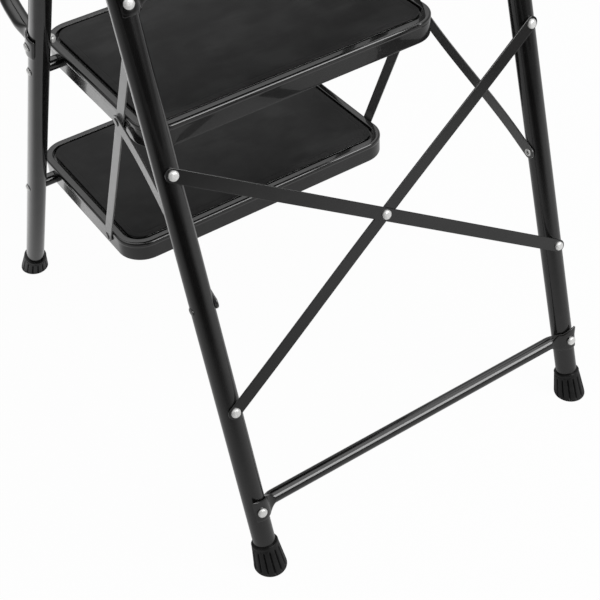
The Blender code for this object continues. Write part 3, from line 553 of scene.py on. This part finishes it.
def hollowProfile(radius, rise, hole, sink):
    # the hole's floor and wall, a rolled ring of height rise * sin, then the sunk base
    half = (radius - hole) / 2
    angles = np.linspace(math.pi, 0, 13)
    roll = np.stack((hole + half + half * np.cos(angles), rise * np.sin(angles)), axis=1)
    return np.concatenate(([(hole * 0.1, -sink), (hole * 0.92, -sink)], roll, [(radius * 0.98, -sink)]))


def tubeSeatGrid(centre, out, along, tubeRadius, radius, rise, count=40):
    # a washer bent over a tube: drop = sqrt(tube radius^2 - sideways^2) - tube radius, with a rolled rim
    sideways = np.cross(out, along)
    angles = np.arange(count) * math.tau / count
    u, v = np.cos(angles), np.sin(angles)
    ring = np.array(((0.10, rise), (0.80, rise), (0.93, rise * 0.85), (1.0, rise * 0.45), (1.0, -0.0012)))
    r = ring[:, 0:1] * radius
    drop = np.sqrt(np.maximum(tubeRadius ** 2 - (r * v) ** 2, 0)) - tubeRadius
    lift = drop * 0.65 + ring[:, 1:2]
    return centre + along * (r * u)[..., None] + sideways * (r * v)[..., None] + out * lift[..., None]


def addHead(name, seat, out, body, radius, rise, replaced=(), sink=0.0012, back=None, surface=zinc):
    # a head at its seat, and where the shank comes out behind, the (seat, radius, rise) of a second one
    grids = [turnedGrid(domeProfile(radius, rise, sink), seat, out)]
    if back:
        grids.append(turnedGrid(domeProfile(back[1], back[2], sink), back[0], -out))
    addGrid(name, grids, body, surface, replaced, 50)


def addSeat(name, point, out, along, tubeRadius, body, radius, rise):
    addGrid(name, [tubeSeatGrid(point, out, along, tubeRadius, radius, rise)], body, paint)


def addFastener(seatName, name, point, out, along, lift, body, sizes, replaced, nutSeat=None, nutLift=0):
    # a head in its seat, lift away from the leg's axis, and where a nut seat is named, a nut behind
    addSeat(seatName, point + out * lift, out, along, lift, body, sizes["seat"], sizes["seatRise"])
    back = None
    if nutSeat:
        addSeat(nutSeat, point - out * nutLift, -out, along, nutLift, body, sizes["nutSeat"],
                rivet["seatRise"])
        back = point - out * (nutLift + rivet["lift"]), sizes["nut"], sizes["nutRise"]
    addHead(name, point + out * (lift + sizes["lift"]), out, body, sizes["head"], sizes["rise"], replaced,
            back=back)


# ---- crossbars that the treads turn on, and their bolts
bolts = {"head": 0.0043, "rise": 0.0019, "seat": 0.0053, "seatRise": 0.0004, "lift": 0.0002}


def makeFrontBars():
    # straight tubes that end inside the legs' walls, bolted from outside
    for index in range(tread["count"]):
        point = barPoint(index)
        half = frontAxis(1, point[2])[0] - frontTube * 0.8
        path = np.linspace(point + across * half, point - across * half, 6)
        addGrid("front_bar_tube_%d" % (index + 1), [tubeGrid(path, frontUp, stance["bar"], 40)], "front",
                paint, ["front_crossbar_%d" % (index + 1)])
        for label, side in sides.items():
            addFastener("bar_bolt_seat_%d_%s" % (index + 1, label), "bar_bolt_%d_%s" % (index + 1, label),
                        frontAxis(side, point[2]), across * side, frontUp, frontTube, "front", bolts,
                        ["crossbar_bolt_%d_%s" % (index + 1, label)])


makeFrontBars()
print("front frame and crossbars made")

# ---- side handrails: bent tube, both ends pressed flat and wrapped round the leg
rail = {
    "rise": 0.0426, "topDrop": 0.145, "forward": 0.095, "bend": 0.045, "aside": 0.0045, "radius": 0.0102,
    "endRun": 0.024, "width": 0.031, "grip": 0.0155, "gripLength": 0.24, "wrap": (40, -48),
}
railBolts = {**bolts, "head": 0.004816, "seat": 0.00583, "nut": 0.0056, "nutRise": 0.0064, "nutSeat": 0.007}
pressed = {"thick": 0.0032, "width": 0.0240, "cornerCut": 0.0012, "endThin": 0.7, "endThinRun": 0.0004}


def saddlePath(reach, tubeOffset, wrap, legRadius, wrapSteps=16, bendSteps=22):
    # across a leg: an arc of radius leg + sheet / 2, then the cubic a (1 - t)^3 + 3 b (1 - t)^2 t
    # + 3 c (1 - t) t^2 + d t^3 out to the tube's line
    ring = legRadius + fit + pressed["thick"] / 2
    angles = np.radians(np.linspace(*wrap, wrapSteps + 1))
    arc = ring * np.stack((np.cos(angles), np.sin(angles)), axis=1)
    heading = np.array((-math.sin(angles[-1]), math.cos(angles[-1])))
    heading = heading * math.copysign(1, wrap[1] - wrap[0])
    end = np.array((tubeOffset, reach))
    span = np.linalg.norm(end - arc[-1])
    pull = arc[-1] + heading * span * 0.35
    push = end - np.array((0, math.copysign(1, reach))) * span * 0.45
    t = np.linspace(0, 1, bendSteps + 1)[1:, None]
    bend = arc[-1] * (1 - t) ** 3 + pull * 3 * (1 - t) ** 2 * t + push * 3 * (1 - t) * t ** 2 + end * t ** 3
    flatness = np.concatenate((np.ones(len(arc)), 1 - t[:, 0]))
    return np.concatenate((arc, bend)), flatness


def endDistance(path):
    # distance along the path to the nearer of its two ends
    run = np.concatenate(([0], np.cumsum(np.linalg.norm(np.diff(path, axis=0), axis=1))))
    return np.minimum(run, run[-1] - run)


def pressedSection(path, radius, width, flatness):
    # round to pressed by the smooth step of the flatness; the free ends' corners are cut round
    ease = easeStep(flatness)
    thick = radius + (pressed["thick"] / 2 - radius) * ease
    wide = radius + (width / 2 - radius) * ease ** 1.6
    fromEnd = endDistance(path)
    inside = np.clip(fromEnd / pressed["cornerCut"], 0, 1)
    wide = wide - pressed["cornerCut"] * (1 - np.sqrt(1 - (1 - inside) ** 2)) * (ease > 0.99)
    thick = thick * np.where(fromEnd < pressed["endThinRun"], pressed["endThin"], 1.0)
    return thick, wide, 2 + 2.5 * ease


def makeHandrail(label, side):
    # from each wrapped end a quarter circle, -bend * sin forward and bend * (1 - cos) up, to the grip
    lowHeight = barPoint(1)[2] + rail["rise"]
    highHeight = hoop["top"] - rail["topDrop"]
    low, high = frontAxis(side, lowHeight), frontAxis(side, highHeight)
    flat, flatness = saddlePath(-(frontTube + rail["endRun"]), rail["aside"], rail["wrap"], frontTube)
    wrap = across * side * flat[:, 0:1] + frontBack * flat[:, 1:2]
    angles = np.linspace(0, math.pi / 2, 15)[:, None]
    arc = (across * side * rail["aside"]
           - frontBack * (rail["forward"] - rail["bend"] + rail["bend"] * np.sin(angles))
           + frontUp * rail["bend"] * (1 - np.cos(angles)))
    lowHalf = np.concatenate((wrap, arc)) + low
    flip = arc - 2 * frontUp * (arc @ frontUp)[:, None]
    highHalf = np.concatenate((wrap, flip)) + high
    path = np.concatenate((lowHalf, highHalf[::-1]))
    share = np.concatenate((flatness, np.zeros(len(arc))))
    share = np.concatenate((share, share[::-1]))
    thick, wide, power = pressedSection(path, rail["radius"], rail["width"], share)
    addGrid("side_rail_" + label, [sweptGrid(path, across * side, thick, wide, power, 40)], "front", paint,
            ["handrail_" + label])
    centre = (low + high) / 2 + across * side * rail["aside"] - frontBack * rail["forward"]
    profile = sleeveProfile(rail["radius"], rail["grip"], rail["gripLength"])
    addGrid("side_rail_foam_" + label, [turnedGrid(profile, centre, high - low, 44)], "front", foam,
            ["handrail_grip_" + label])
    for place, point in (("low", low), ("high", high)):
        addFastener("rail_bolt_seat_%s_%s" % (place, label), "rail_bolt_%s_%s" % (place, label), point,
                    across * side, frontUp, frontTube + fit + pressed["thick"], "front", railBolts,
                    ["handrail_bolt_%s_%s" % (place, label)], "rail_nut_seat_%s_%s" % (place, label),
                    frontTube)


for label, side in sides.items():
    makeHandrail(label, side)

# ---- hinge brackets: bent sheet round the front leg, with two ears for the rear leg
bracket = {
    "sheet": 0.002, "edge": 0.0006, "half": 0.018, "eye": 0.0125, "play": 0.0005, "pinRise": 0.0032,
    "tailRise": 0.0024, "taperFrom": 0.0035, "sink": 0.0005,
}


def makeBracket(label, side):
    # a U in plan: x = inner * cos, depth = -inner * sin round the leg, then two straight ears that narrow
    # from half to eye and end in an arc, half width = sqrt(eye^2 - past^2)
    hinge = np.array((side * hingeX, rearAxis(1, hingeHeight)[1], hingeHeight))
    origin = hinge - frontBack * stance["hingeOffset"]
    gap = max(frontTube, rearTube) + bracket["play"]
    inner = gap + bracket["sheet"] / 2
    bend = np.linspace(0, math.pi, 21)[1:-1]
    ear = np.concatenate((np.linspace(0, stance["hingeOffset"], 12),
                          stance["hingeOffset"] + bracket["eye"] * np.sin(np.linspace(0.12, 1.545, 12))))
    x = np.concatenate((np.full(24, inner), inner * np.cos(bend), np.full(24, -inner)))
    n = np.concatenate((ear[::-1], -inner * np.sin(bend), ear))
    path = origin + across * x[:, None] + frontBack * n[:, None]
    taper = np.clip((n - bracket["taperFrom"]) / (stance["hingeOffset"] - bracket["taperFrom"]), 0, 1)
    half = bracket["half"] + (bracket["eye"] - bracket["half"]) * taper
    past = np.clip(n - stance["hingeOffset"], 0, bracket["eye"] * 0.9999)
    half = np.where(past > 0, np.sqrt(bracket["eye"] ** 2 - past ** 2), half)
    addGrid("hinge_sheet_" + label, [strapGrid(path, frontUp, half, bracket["sheet"], bracket["edge"])],
            "front", paint, ["hinge_bracket_" + label])
    half = gap + bracket["sheet"]
    out = across * side
    addHead("hinge_leg_rivet_" + label, origin + out * half, out, "front", rivet["head"], rivet["rise"],
            sink=bracket["sink"], back=(origin - out * half, rivet["head"], rivet["rise"]))
    addHead("hinge_pin_heads_" + label, hinge + out * half, out, "front", rivet["hingeHead"],
            bracket["pinRise"], ["hinge_pin_" + label], sink=bracket["sink"],
            back=(hinge - out * half, rivet["hingeTail"], bracket["tailRise"]))


for label, side in sides.items():
    makeBracket(label, side)
print("handrails and hinges made")

# ---- treads: pressed sheet with a rolled rim, a recess for the mat and a skirt turned in at the hem
pan = {
    "rim": 0.0098, "overhang": 0.0006, "recess": 0.0028, "slope": 0.0006, "hem": 0.005, "rimDrop": 0.0056,
    "step": 0.0016, "channel": 0.0040, "channelIn": 0.0035, "channelOut": 0.0050, "bed": 0.012,
    "bends": (0.0012, 0.0010, 0.0010, 0.0033, 0.0010, 0.0008, 0.0005, 0.0005),
    "rowEvery": 0.0022, "leastCorner": 0.004, "restOnBar": 0.6525,
}


def roundedRing(halfX, halfY, radius, centreY, cornerSteps=24, longSteps=40, wideSteps=60):
    # four quarter circles joined by straights, all with a fixed count of points
    corners = ((1, -1, -90, longSteps), (1, 1, 0, wideSteps), (-1, 1, 90, longSteps),
               (-1, -1, 180, wideSteps))
    arcs = []
    for signX, signY, start, straight in corners:
        angles = np.radians(start + np.linspace(0, 90, cornerSteps + 1))
        arcs.append(np.stack((signX * (halfX - radius) + radius * np.cos(angles),
                              centreY + signY * (halfY - radius) + radius * np.sin(angles)), axis=1))
    ring = []
    for arc, following, (signX, signY, start, straight) in zip(arcs, arcs[1:] + arcs[:1], corners):
        share = np.linspace(0, 1, straight + 1)[1:-1, None]
        ring += [arc, arc[-1] + (following[0] - arc[-1]) * share]
    return np.concatenate(ring)


def outlineGrid(index, insets, heights):
    # one ring for each pair: point = (tread outline drawn in by the inset, height)
    centreY = barPoint(index)[1] - tread["nose"] + tread["depth"] / 2
    rings = [roundedRing(tread["width"] / 2 - inset, tread["depth"] / 2 - inset,
                         max(tread["corner"] - inset, pan["leastCorner"]), centreY) for inset in insets]
    grid = np.empty((len(rings), len(rings[0]), 3))
    grid[..., :2] = rings
    grid[..., 2] = heights[:, None]
    return grid


def panGrid(index):
    # insets and heights follow the sheet's outer profile from hem to bed, and back one sheet inside it
    top = treadTop(index)
    skirt = top - pan["restOnBar"] if index == tread["count"] - 1 else tread["skirt"]
    side, drop = pan["overhang"], pan["rimDrop"]
    bed = pan["rim"] + pan["slope"]
    deep = -pan["recess"] - pan["channel"]
    corners = [(side + pan["hem"], -skirt), (side, -skirt), (side, -drop - pan["step"]), (0, -drop), (0, 0),
               (pan["rim"], 0), (bed, deep), (bed + pan["channelIn"], deep),
               (bed + pan["channelOut"], -pan["recess"]), (bed + pan["bed"], -pan["recess"])]
    outer = roundedProfile(corners, pan["bends"], 7)
    runs = [outer[:1]]
    for before, after in zip(outer, outer[1:]):
        pieces = max(1, int(math.ceil(np.linalg.norm(after - before) / pan["rowEvery"])))
        runs.append(before + (after - before) * np.linspace(0, 1, pieces + 1)[1:, None])
    outer = np.concatenate(runs)
    tangent = unit(np.gradient(outer, axis=0))
    inner = outer + np.stack((tangent[:, 1], -tangent[:, 0]), axis=1) * -tread["sheet"]
    if inner[len(inner) // 3, 0] < outer[len(outer) // 3, 0]:
        inner = 2 * outer - inner
    profile = np.concatenate((outer[::-1], inner))
    return outlineGrid(index, profile[:, 0], top + profile[:, 1])


mat = {
    "thick": 0.0028, "border": 0.0035, "edge": 0.0007, "undercut": 0.0014, "base": 0.004, "band": 0.0075,
    "groove": 0.00022, "grooveHalf": 0.0014, "inside": 0.006,
}


def matGrid(index):
    # side cut under, top edge rounded, and round it a groove of depth groove * (0.5 + 0.5 cos)
    inset = pan["rim"] + pan["slope"] + mat["border"]
    base = treadTop(index) - pan["recess"] + fit
    band, half, deep, edge = mat["band"], mat["grooveHalf"], mat["groove"], mat["edge"]
    edgeAngles = np.linspace(0, math.pi / 2, 6)
    insets = np.concatenate(([mat["base"], mat["undercut"]], edge * (1 - np.cos(edgeAngles)),
                             band + np.linspace(-half, half, 9), [band + mat["inside"]]))
    heights = np.concatenate(([0.0, 0.0], mat["thick"] - edge + edge * np.sin(edgeAngles),
                              mat["thick"] - deep * (0.5 + 0.5 * np.cos(np.linspace(-math.pi, math.pi, 9))),
                              [mat["thick"]]))
    return outlineGrid(index, inset + insets, base + heights)


def makeTread(index):
    name = treadName(index)
    addGrid(name + "_pressed_pan", [panGrid(index)], name, paint, [name + "_pan"], 60)
    addGrid(name + "_rubber_mat", [matGrid(index)], name, matRubber, [name + "_mat"], 50)
    point = linkPoint(index)
    headX = tread["width"] / 2 + 2 * fit + link["thick"]
    sheetX = tread["width"] / 2 - pan["overhang"] - tread["sheet"]
    for label, side in sides.items():
        out = across * side
        addHead("%s_link_rivet_%s" % (name, label), point + out * headX, out, name, rivet["linkHead"],
                rivet["linkRise"], ["%s_rivet_%s" % (name, label)], rivet["linkSink"],
                (point + out * sheetX, rivet["linkHead"], rivet["tailRise"]), paint)


# ---- link straps, and the struts that reach back to the rear legs
link = {"width": 0.015, "thick": 0.0018, "strutWidth": 0.016, "strutThick": 0.0020, "strutFoot": 0.3328}


def makeLink(label, side):
    # a straight flat bar from the first tread's pivot to the platform's
    low, high = linkPoint(0), linkPoint(tread["count"] - 1)
    along = unit(high - low)
    length = np.linalg.norm(high - low)
    stations, half = barStations(length, link["width"] / 2, 0.0, np.linspace(0.01, length - 0.01, 8))
    x = side * (tread["width"] / 2 + fit + link["thick"] / 2)
    path = low + across * x + along * stations[:, None]
    addGrid("link_flat_bar_" + label, [strapGrid(path, np.cross(across, along), half, link["thick"])],
            "link_" + label, paintedReflectionPaint, ["link_strap_" + label])


def makeStrut(label, side):
    # a flat bar joggled in x by a smooth step, from outside the link strap to the rear leg's inner side
    top = linkPoint(1)
    foot = rearAxis(1, link["strutFoot"]) * (0, 1, 1)
    along = unit(foot - top)
    length = np.linalg.norm(foot - top)
    headX = tread["width"] / 2 + 2 * fit + link["thick"]
    topX = headX + rivet["linkRise"] + fit + link["strutThick"] / 2
    footX = rearAxis(1, link["strutFoot"])[0] - rearTube - fit - link["strutThick"] / 2
    between = np.linspace(0.012, length - 0.012, 40)
    stations, half = barStations(length, link["strutWidth"] / 2, 0.0, between)
    x = side * (topX + (footX - topX) * easeStep((stations / length - 0.1) / 0.8))
    path = top + across * x[:, None] + along * stations[:, None]
    addGrid("strut_flat_bar_" + label, [strapGrid(path, np.cross(across, along), half, link["strutThick"])],
            label + "_strut", paintedReflectionPaint, ["strut_" + label])
    out = across * side
    addHead("strut_top_rivet_" + label, top + out * (topX + link["strutThick"] / 2), out, label + "_strut",
            rivet["linkHead"], rivet["strutRise"], sink=rivet["linkSink"], surface=paint)
    leg = rearAxis(side, link["strutFoot"])
    inner = foot + out * (footX - link["strutThick"] / 2 - fit)
    ring = hollowProfile(rivet["pinRing"], rivet["pinRise"], rivet["pinHole"], rivet["pinSink"])
    addGrid("strut_pin_ring_" + label, [turnedGrid(ring, inner, -out)], "rear", zinc,
            ["strut_foot_pin_" + label], 50)
    addHead("strut_pin_head_" + label, leg + out * rearTube, out, "rear", rivet["pinRing"],
            rivet["pinFlat"], surface=paint)


for index in range(tread["count"]):
    makeTread(index)
for label, side in sides.items():
    makeLink(label, side)
    makeStrut(label, side)
print("treads, links and struts made")

# ---- rear frame
rear = {
    "lowBar": 0.0815, "highBar": 0.6441, "braceHigh": 0.4798, "braceLow": 0.2117, "braceWidth": 0.015,
    "braceThick": 0.0018, "braceMargin": 0.001, "braceFlat": 0.02, "braceBow": 0.22, "crossFlat": 0.015,
    "endRun": 0.011, "wrap": (30, -50), "lateness": 1.5, "kneeBend": 0.6, "tubeEnd": 0.0065,
    "overrun": 0.0095, "flare": 0.0062, "flareLength": 0.017, "peel": 0.0036, "rivetSink": 0.0006,
    "tail": 0.0046, "tailRise": 0.0018,
}
capShape = {"fit": 0.97, "inside": 0.006, "rim": 0.0009, "edge": 0.0006, "centre": 0.0004, "step": 0.0012}


def makeRearLeg(label, side):
    # a tube with an arc at its knee, and a turned cap in its upper end
    start, knee, hinge = (rearAxis(side, height)
                          for height in (rear["tubeEnd"], stance["rearKnee"], hingeHeight))
    upper = unit(hinge - knee)
    end = hinge + upper * rear["overrun"]
    path = filleted((start, knee, end - upper * capShape["step"]), (rear["kneeBend"],), 16)
    addGrid("rear_leg_tube_" + label, [tubeGrid(path, rearBack, rearTube)], "rear", paint,
            ["rear_leg_" + label])
    plugRadius = rearTube * capShape["fit"]
    profile = roundedProfile(((plugRadius, -capShape["inside"]), (plugRadius, -capShape["rim"]),
                              (rearTube, -capShape["rim"]), (rearTube, 0), (capShape["centre"], 0.0)),
                             (0, 0, capShape["edge"], 0), 5)
    addGrid("rear_leg_plug_" + label, [turnedGrid(profile, end, upper, 44)], "rear", plug)


def makeRearBar(name, label, height):
    # a round tube with wrapped ends, its tips' upper corners drawn up and peeled off the leg:
    # point + (up * flare * free + away * peel * free^2) * high^1.5
    leg = rearAxis(1, height)
    flat, flatness = saddlePath(-(rearTube + rear["endRun"]), 0.0, rear["wrap"], rearTube)
    half = leg + across * flat[:, 1:2] + rearBack * flat[:, 0:1]
    path = np.concatenate((half, (half * (-1, 1, 1))[::-1]))
    flatness = np.concatenate((flatness, flatness[::-1]))
    thick, wide, power = pressedSection(path, stance["bar"], pressed["width"], flatness ** rear["lateness"])
    grid = sweptGrid(path, rearBack, thick, wide, power, 40)
    free = np.clip(1 - endDistance(path) / rear["flareLength"], 0, 1)[:, None]
    high = np.clip((grid - path[:, None]) @ rearUp / (pressed["width"] / 2), 0, 1)[..., None]
    away = unit(path - leg * np.where(path[:, :1] < 0, (-1, 1, 1), 1))
    grid = grid + (rearUp * rear["flare"] * free + away * rear["peel"] * free ** 2)[:, None] * high ** 1.5
    addGrid(name, [grid], "rear", paint, ["rear_%s_crossbar" % label])
    for word, side in sides.items():
        addFastener("%s_seat_%s" % (name, word), "%s_rivet_%s" % (name, word), rearAxis(side, height),
                    rearBack, rearUp, rearTube + fit + pressed["thick"], "rear", rivet,
                    ["%s_crossbar_rivet_%s" % (label, word)])


def braceEnds(side):
    lift = rearBack * (rearTube + fit + rear["braceThick"] / 2)
    return rearAxis(side, rear["braceHigh"]) + lift, rearAxis(-side, rear["braceLow"]) + lift


def braceCrossing():
    # the point of the high-right brace where x is 0
    high, low = braceEnds(1)
    return high + (low - high) * high[0] / (high[0] - low[0])


def makeBrace(name, side, lift, replaced):
    # a flat bar that bows by lift at the crossing, as a smooth step of the distance from it
    high, low = braceEnds(side)
    along = unit(low - high)
    length = np.linalg.norm(low - high)
    middle = np.linalg.norm(braceCrossing() - high)
    bow = rear["braceBow"]
    spread = middle + np.concatenate((np.linspace(-bow, -rear["crossFlat"], 18),
                                      np.linspace(rear["crossFlat"], bow, 18)))
    stations, half = barStations(length, rear["braceWidth"] / 2, rear["braceMargin"], spread)
    rise = lift * easeStep((bow - np.abs(stations - middle)) / (bow - rear["braceFlat"]))
    path = high + along * stations[:, None] + rearBack * rise[:, None]
    addGrid(name, [strapGrid(path, np.cross(rearBack, along), half, rear["braceThick"])], "rear", paint,
            [replaced])


def makeBraceRivets():
    lift = rearTube + 2 * fit + rear["braceThick"]
    for label, side in sides.items():
        for place, height in (("high", rear["braceHigh"]), ("low", rear["braceLow"])):
            point = rearAxis(side, height) + rearBack * lift
            addHead("brace_end_rivet_%s_%s" % (place, label), point, rearBack, "rear", rivet["head"],
                    rivet["rise"], ["brace_rivet_%s_%s" % (place, label)], sink=rear["rivetSink"])
    centre = braceCrossing()
    addHead("brace_middle_rivet", centre + rearBack * (rear["braceThick"] / 2 + fit), rearBack,
            "rear", rivet["head"], rivet["rise"], ["brace_centre_rivet"], sink=rear["rivetSink"],
            back=(centre - rearBack * (rear["braceThick"] * 1.5 + 2 * fit), rear["tail"],
                  rear["tailRise"]))


# ---- rubber feet: fluted cups, cut flat where they stand
foot = {
    "height": 0.034, "collar": 0.0158, "edge": 0.0010, "inset": 0.0004, "inside": 0.004, "taper": 1.1,
    "grooves": 14, "grooveDepth": 0.0022, "narrow": 7, "grooveTop": 0.84, "topFade": 0.08,
    "grooveFoot": 0.07, "footFade": 0.05, "neck": 0.90, "neckHalf": 0.025, "neckDepth": 0.0007,
    "roundFrom": 0.97, "round": 0.0006,
}


def footGrid(centre, up, tubeRadius, count=384, rows=30):
    # radius falls from rim to collar, less depth * (0.5 + 0.5 cos)^narrow in the grooves and less a
    # shallow neck; the sole is the level plane through the leg's foot
    helper = unit(across - up * (across @ up))
    other = np.cross(up, helper)
    angles = np.arange(count) * math.tau / count
    spoke = helper * np.cos(angles)[:, None] + other * np.sin(angles)[:, None]
    sole = -(spoke[:, 2] * stance["footRim"]) / up[2]
    share = np.linspace(0, 1, rows)[:, None]
    height = sole + (foot["height"] - sole) * share
    rise = np.clip(height / foot["height"], 0, 1)
    radius = stance["footRim"] + (foot["collar"] - stance["footRim"]) * np.minimum(1, rise * foot["taper"])
    fade = np.clip((foot["grooveTop"] - rise) / foot["topFade"], 0, 1)
    fade = fade * np.clip((share - foot["grooveFoot"]) / foot["footFade"], 0, 1)
    groove = (0.5 + 0.5 * np.cos(angles * foot["grooves"])) ** foot["narrow"]
    radius = radius - foot["grooveDepth"] * fade * groove
    radius = radius - foot["neckDepth"] * np.clip(1 - np.abs(rise - foot["neck"]) / foot["neckHalf"], 0, 1)
    last = np.clip((rise - foot["roundFrom"]) / (1 - foot["roundFrom"]), 0, 1)
    radius = radius - foot["round"] * last ** 2
    grid = centre + up * height[..., None] + spoke[None] * radius[..., None]
    low = grid[0].copy()
    low[:, :2] = centre[:2] + (low[:, :2] - centre[:2]) * (1 - foot["edge"] / stance["footRim"])
    low[:, 2] = 0.0
    grid[0, :, 2] = foot["edge"] * 0.8
    inside = centre + up * foot["height"] + spoke * (tubeRadius - foot["inset"])
    deep = inside - up * foot["inside"]
    return np.concatenate((low[None], grid, inside[None], deep[None]))


def makeFoot(name, axis, side, knee, tubeRadius, body):
    base = axis(side, 0)
    up = unit(axis(side, knee) - base)
    addGrid(name + "_cup", [footGrid(base, up, tubeRadius)], body, footRubber, [name], 45)


for label, side in sides.items():
    makeRearLeg(label, side)
    makeFoot("front_foot_" + label, frontAxis, side, stance["frontKnee"], frontTube, "front")
    makeFoot("rear_foot_" + label, rearAxis, side, stance["rearKnee"], rearTube, "rear")
makeRearBar("rear_low_bar", "lower", rear["lowBar"])
makeRearBar("rear_high_bar", "upper", rear["highBar"])
makeBrace("brace_outer_bar", 1, 0.0, "cross_brace_outer")
makeBrace("brace_inner_bar", -1, -rear["braceThick"] - fit, "cross_brace_inner")
makeBraceRivets()
print("rear frame and feet made")

# ---- floor and light
studio = {
    "floorHalf": 6.0, "floorDark": (0.93, 0.93, 0.93), "floorLight": (0.96, 0.96, 0.96),
    "floorGrain": 180.0, "glow": 0.97, "mirrorGlow": 0.5, "mirrored": 0.50,
    # the floor's glow that gloss mirrors is painted light: dark near the dark spot, weaker far away, and a
    # painted pool of light round the pool spot
    "darkSpot": (1.3, 2.2), "darkRange": (0.9, 2.3), "farRange": (1.4, 4.0), "farLoss": 0.60,
    "paintedPoolSpot": (0.43, -0.77), "paintedPoolRange": (0.30, 0.62), "paintedPool": 1.05,
    "worldLight": 0.42, "horizon": 0.22, "overhead": 1.35, "skyRange": (0.25, 1.0),
    "behind": (0.51, 0.86, 0.0), "behindRange": (0.35, 0.85), "behindLoss": 0.92,
}
lamps = {
    "rearLeft": {"place": (-1.20, 2.40, 1.66), "aim": (0, 0.2, 0.15), "size": (1.9, 1.5), "power": 41},
}


def studioTree(owner):
    # an empty node tree, with 1 for what the camera sees, also through glass, and 1 for what gloss mirrors
    owner.use_nodes = True
    owner.node_tree.nodes.clear()
    maker = Value(owner.node_tree)
    camera, glass, mirror = (maker.node("ShaderNodeLightPath", {}, {}, "Is %s Ray" % kind)
                             for kind in ("Camera", "Transmission", "Glossy"))
    return maker, maker.math("MAXIMUM", camera, glass), mirror


def makeFloor():
    # pale floor: lit and shadowed as a surface, with most of its white seen straight; gloss mirrors it
    # half glowing, half lit, with painted shade faded dark at the dark spot and far away, and a painted
    # pool of light at the pool spot
    half = studio["floorHalf"]
    line = np.linspace(-half, half, 9)
    x, y = np.meshgrid(line, line)
    points = np.stack((x.ravel(), y.ravel(), np.zeros(x.size)), axis=1)
    index = np.arange(x.size).reshape(x.shape)
    quads = np.stack((index[:-1, :-1], index[:-1, 1:], index[1:, 1:], index[1:, :-1]), axis=-1)
    mesh = bpy.data.meshes.new("floor")
    mesh.from_pydata(points.tolist(), [], quads.reshape(-1, 4).tolist())
    made = bpy.data.materials.new("paleFloor")
    maker, eye, mirror = studioTree(made)
    coords = maker.node("ShaderNodeTexCoord", {}, {}, "Object")
    away, dark, near = (maker.node("ShaderNodeVectorMath", {"operation": "DISTANCE"},
                                   {0: coords, 1: (*spot, 0)}, 1)
                        for spot in ((0, 0), studio["darkSpot"], studio["paintedPoolSpot"]))
    # painted light for mirrors: the floor's glow and lit colour are painted dark at the dark spot and far
    # away, and a painted pool of light round the pool spot
    shown = dark.above(*studio["darkRange"]) * studio["mirrored"]
    shown = shown * (1 - away.above(*studio["farRange"]) * studio["farLoss"])
    shown = shown + (1 - near.above(*studio["paintedPoolRange"])) * studio["paintedPool"]
    grain = maker.node("ShaderNodeTexNoise", {}, {
        "Vector": coords, "Scale": studio["floorGrain"], "Detail": 3.0})
    tone = maker.blend(grain, studio["floorDark"], studio["floorLight"])
    tone = maker.blend(mirror * (1 - shown), tone, (0, 0, 0))
    lit = maker.node("ShaderNodeBsdfDiffuse", {}, {"Color": tone})
    white = maker.node("ShaderNodeEmission", {}, {"Strength": eye + (1 - eye) * shown})
    share = maker.math("MAXIMUM", eye * studio["glow"], mirror * studio["mirrorGlow"])
    mixed = maker.node("ShaderNodeMixShader", {}, {0: share, 1: lit, 2: white})
    output = made.node_tree.nodes.new("ShaderNodeOutputMaterial")
    made.node_tree.links.new(mixed.socket, output.inputs["Surface"])
    mesh.materials.append(made)
    floor = placed("floor", mesh)


def makeWorld():
    # white where it is seen straight; glossy pieces mirror a room lit from above, dark behind the camera
    world = bpy.data.worlds.new("studio")
    bpy.context.scene.world = world
    maker, eye, mirror = studioTree(world)
    way = maker.node("ShaderNodeTexCoord", {}, {}, "Generated")
    height = maker.node("ShaderNodeSeparateXYZ", {}, {0: way}, 2)
    behind = maker.node("ShaderNodeVectorMath", {"operation": "DOT_PRODUCT"}, {
        0: way, 1: studio["behind"]}, 1)
    rise = studio["overhead"] - studio["horizon"]
    room = studio["horizon"] + height.above(*studio["skyRange"]) * rise
    room = room * (1 - behind.above(*studio["behindRange"]) * studio["behindLoss"])
    plain = studio["worldLight"]
    strength = maker.math("MAXIMUM", eye, plain + mirror * (room - plain))
    shown = maker.node("ShaderNodeBackground", {}, {"Color": (1, 1, 1, 1), "Strength": strength})
    output = world.node_tree.nodes.new("ShaderNodeOutputWorld")
    world.node_tree.links.new(shown.socket, output.inputs["Surface"])


def makeLamps():
    # each soft box faces its aim, with its size_y in the upright plane
    for name, lamp in lamps.items():
        data = bpy.data.lights.new(name, "AREA")
        data.shape = "RECTANGLE"
        data.size, data.size_y = lamp["size"]
        data.energy = lamp["power"]
        toward = unit(np.array(lamp["aim"]) - np.array(lamp["place"]))
        right = unit(np.cross(toward, (0, 0, 1)))
        placed(name, data).matrix_world = faced(lamp["place"], right, np.cross(right, toward))


makeFloor()
makeWorld()
makeLamps()
bpy.context.scene.view_settings.view_transform = "Standard"
print("studio made")
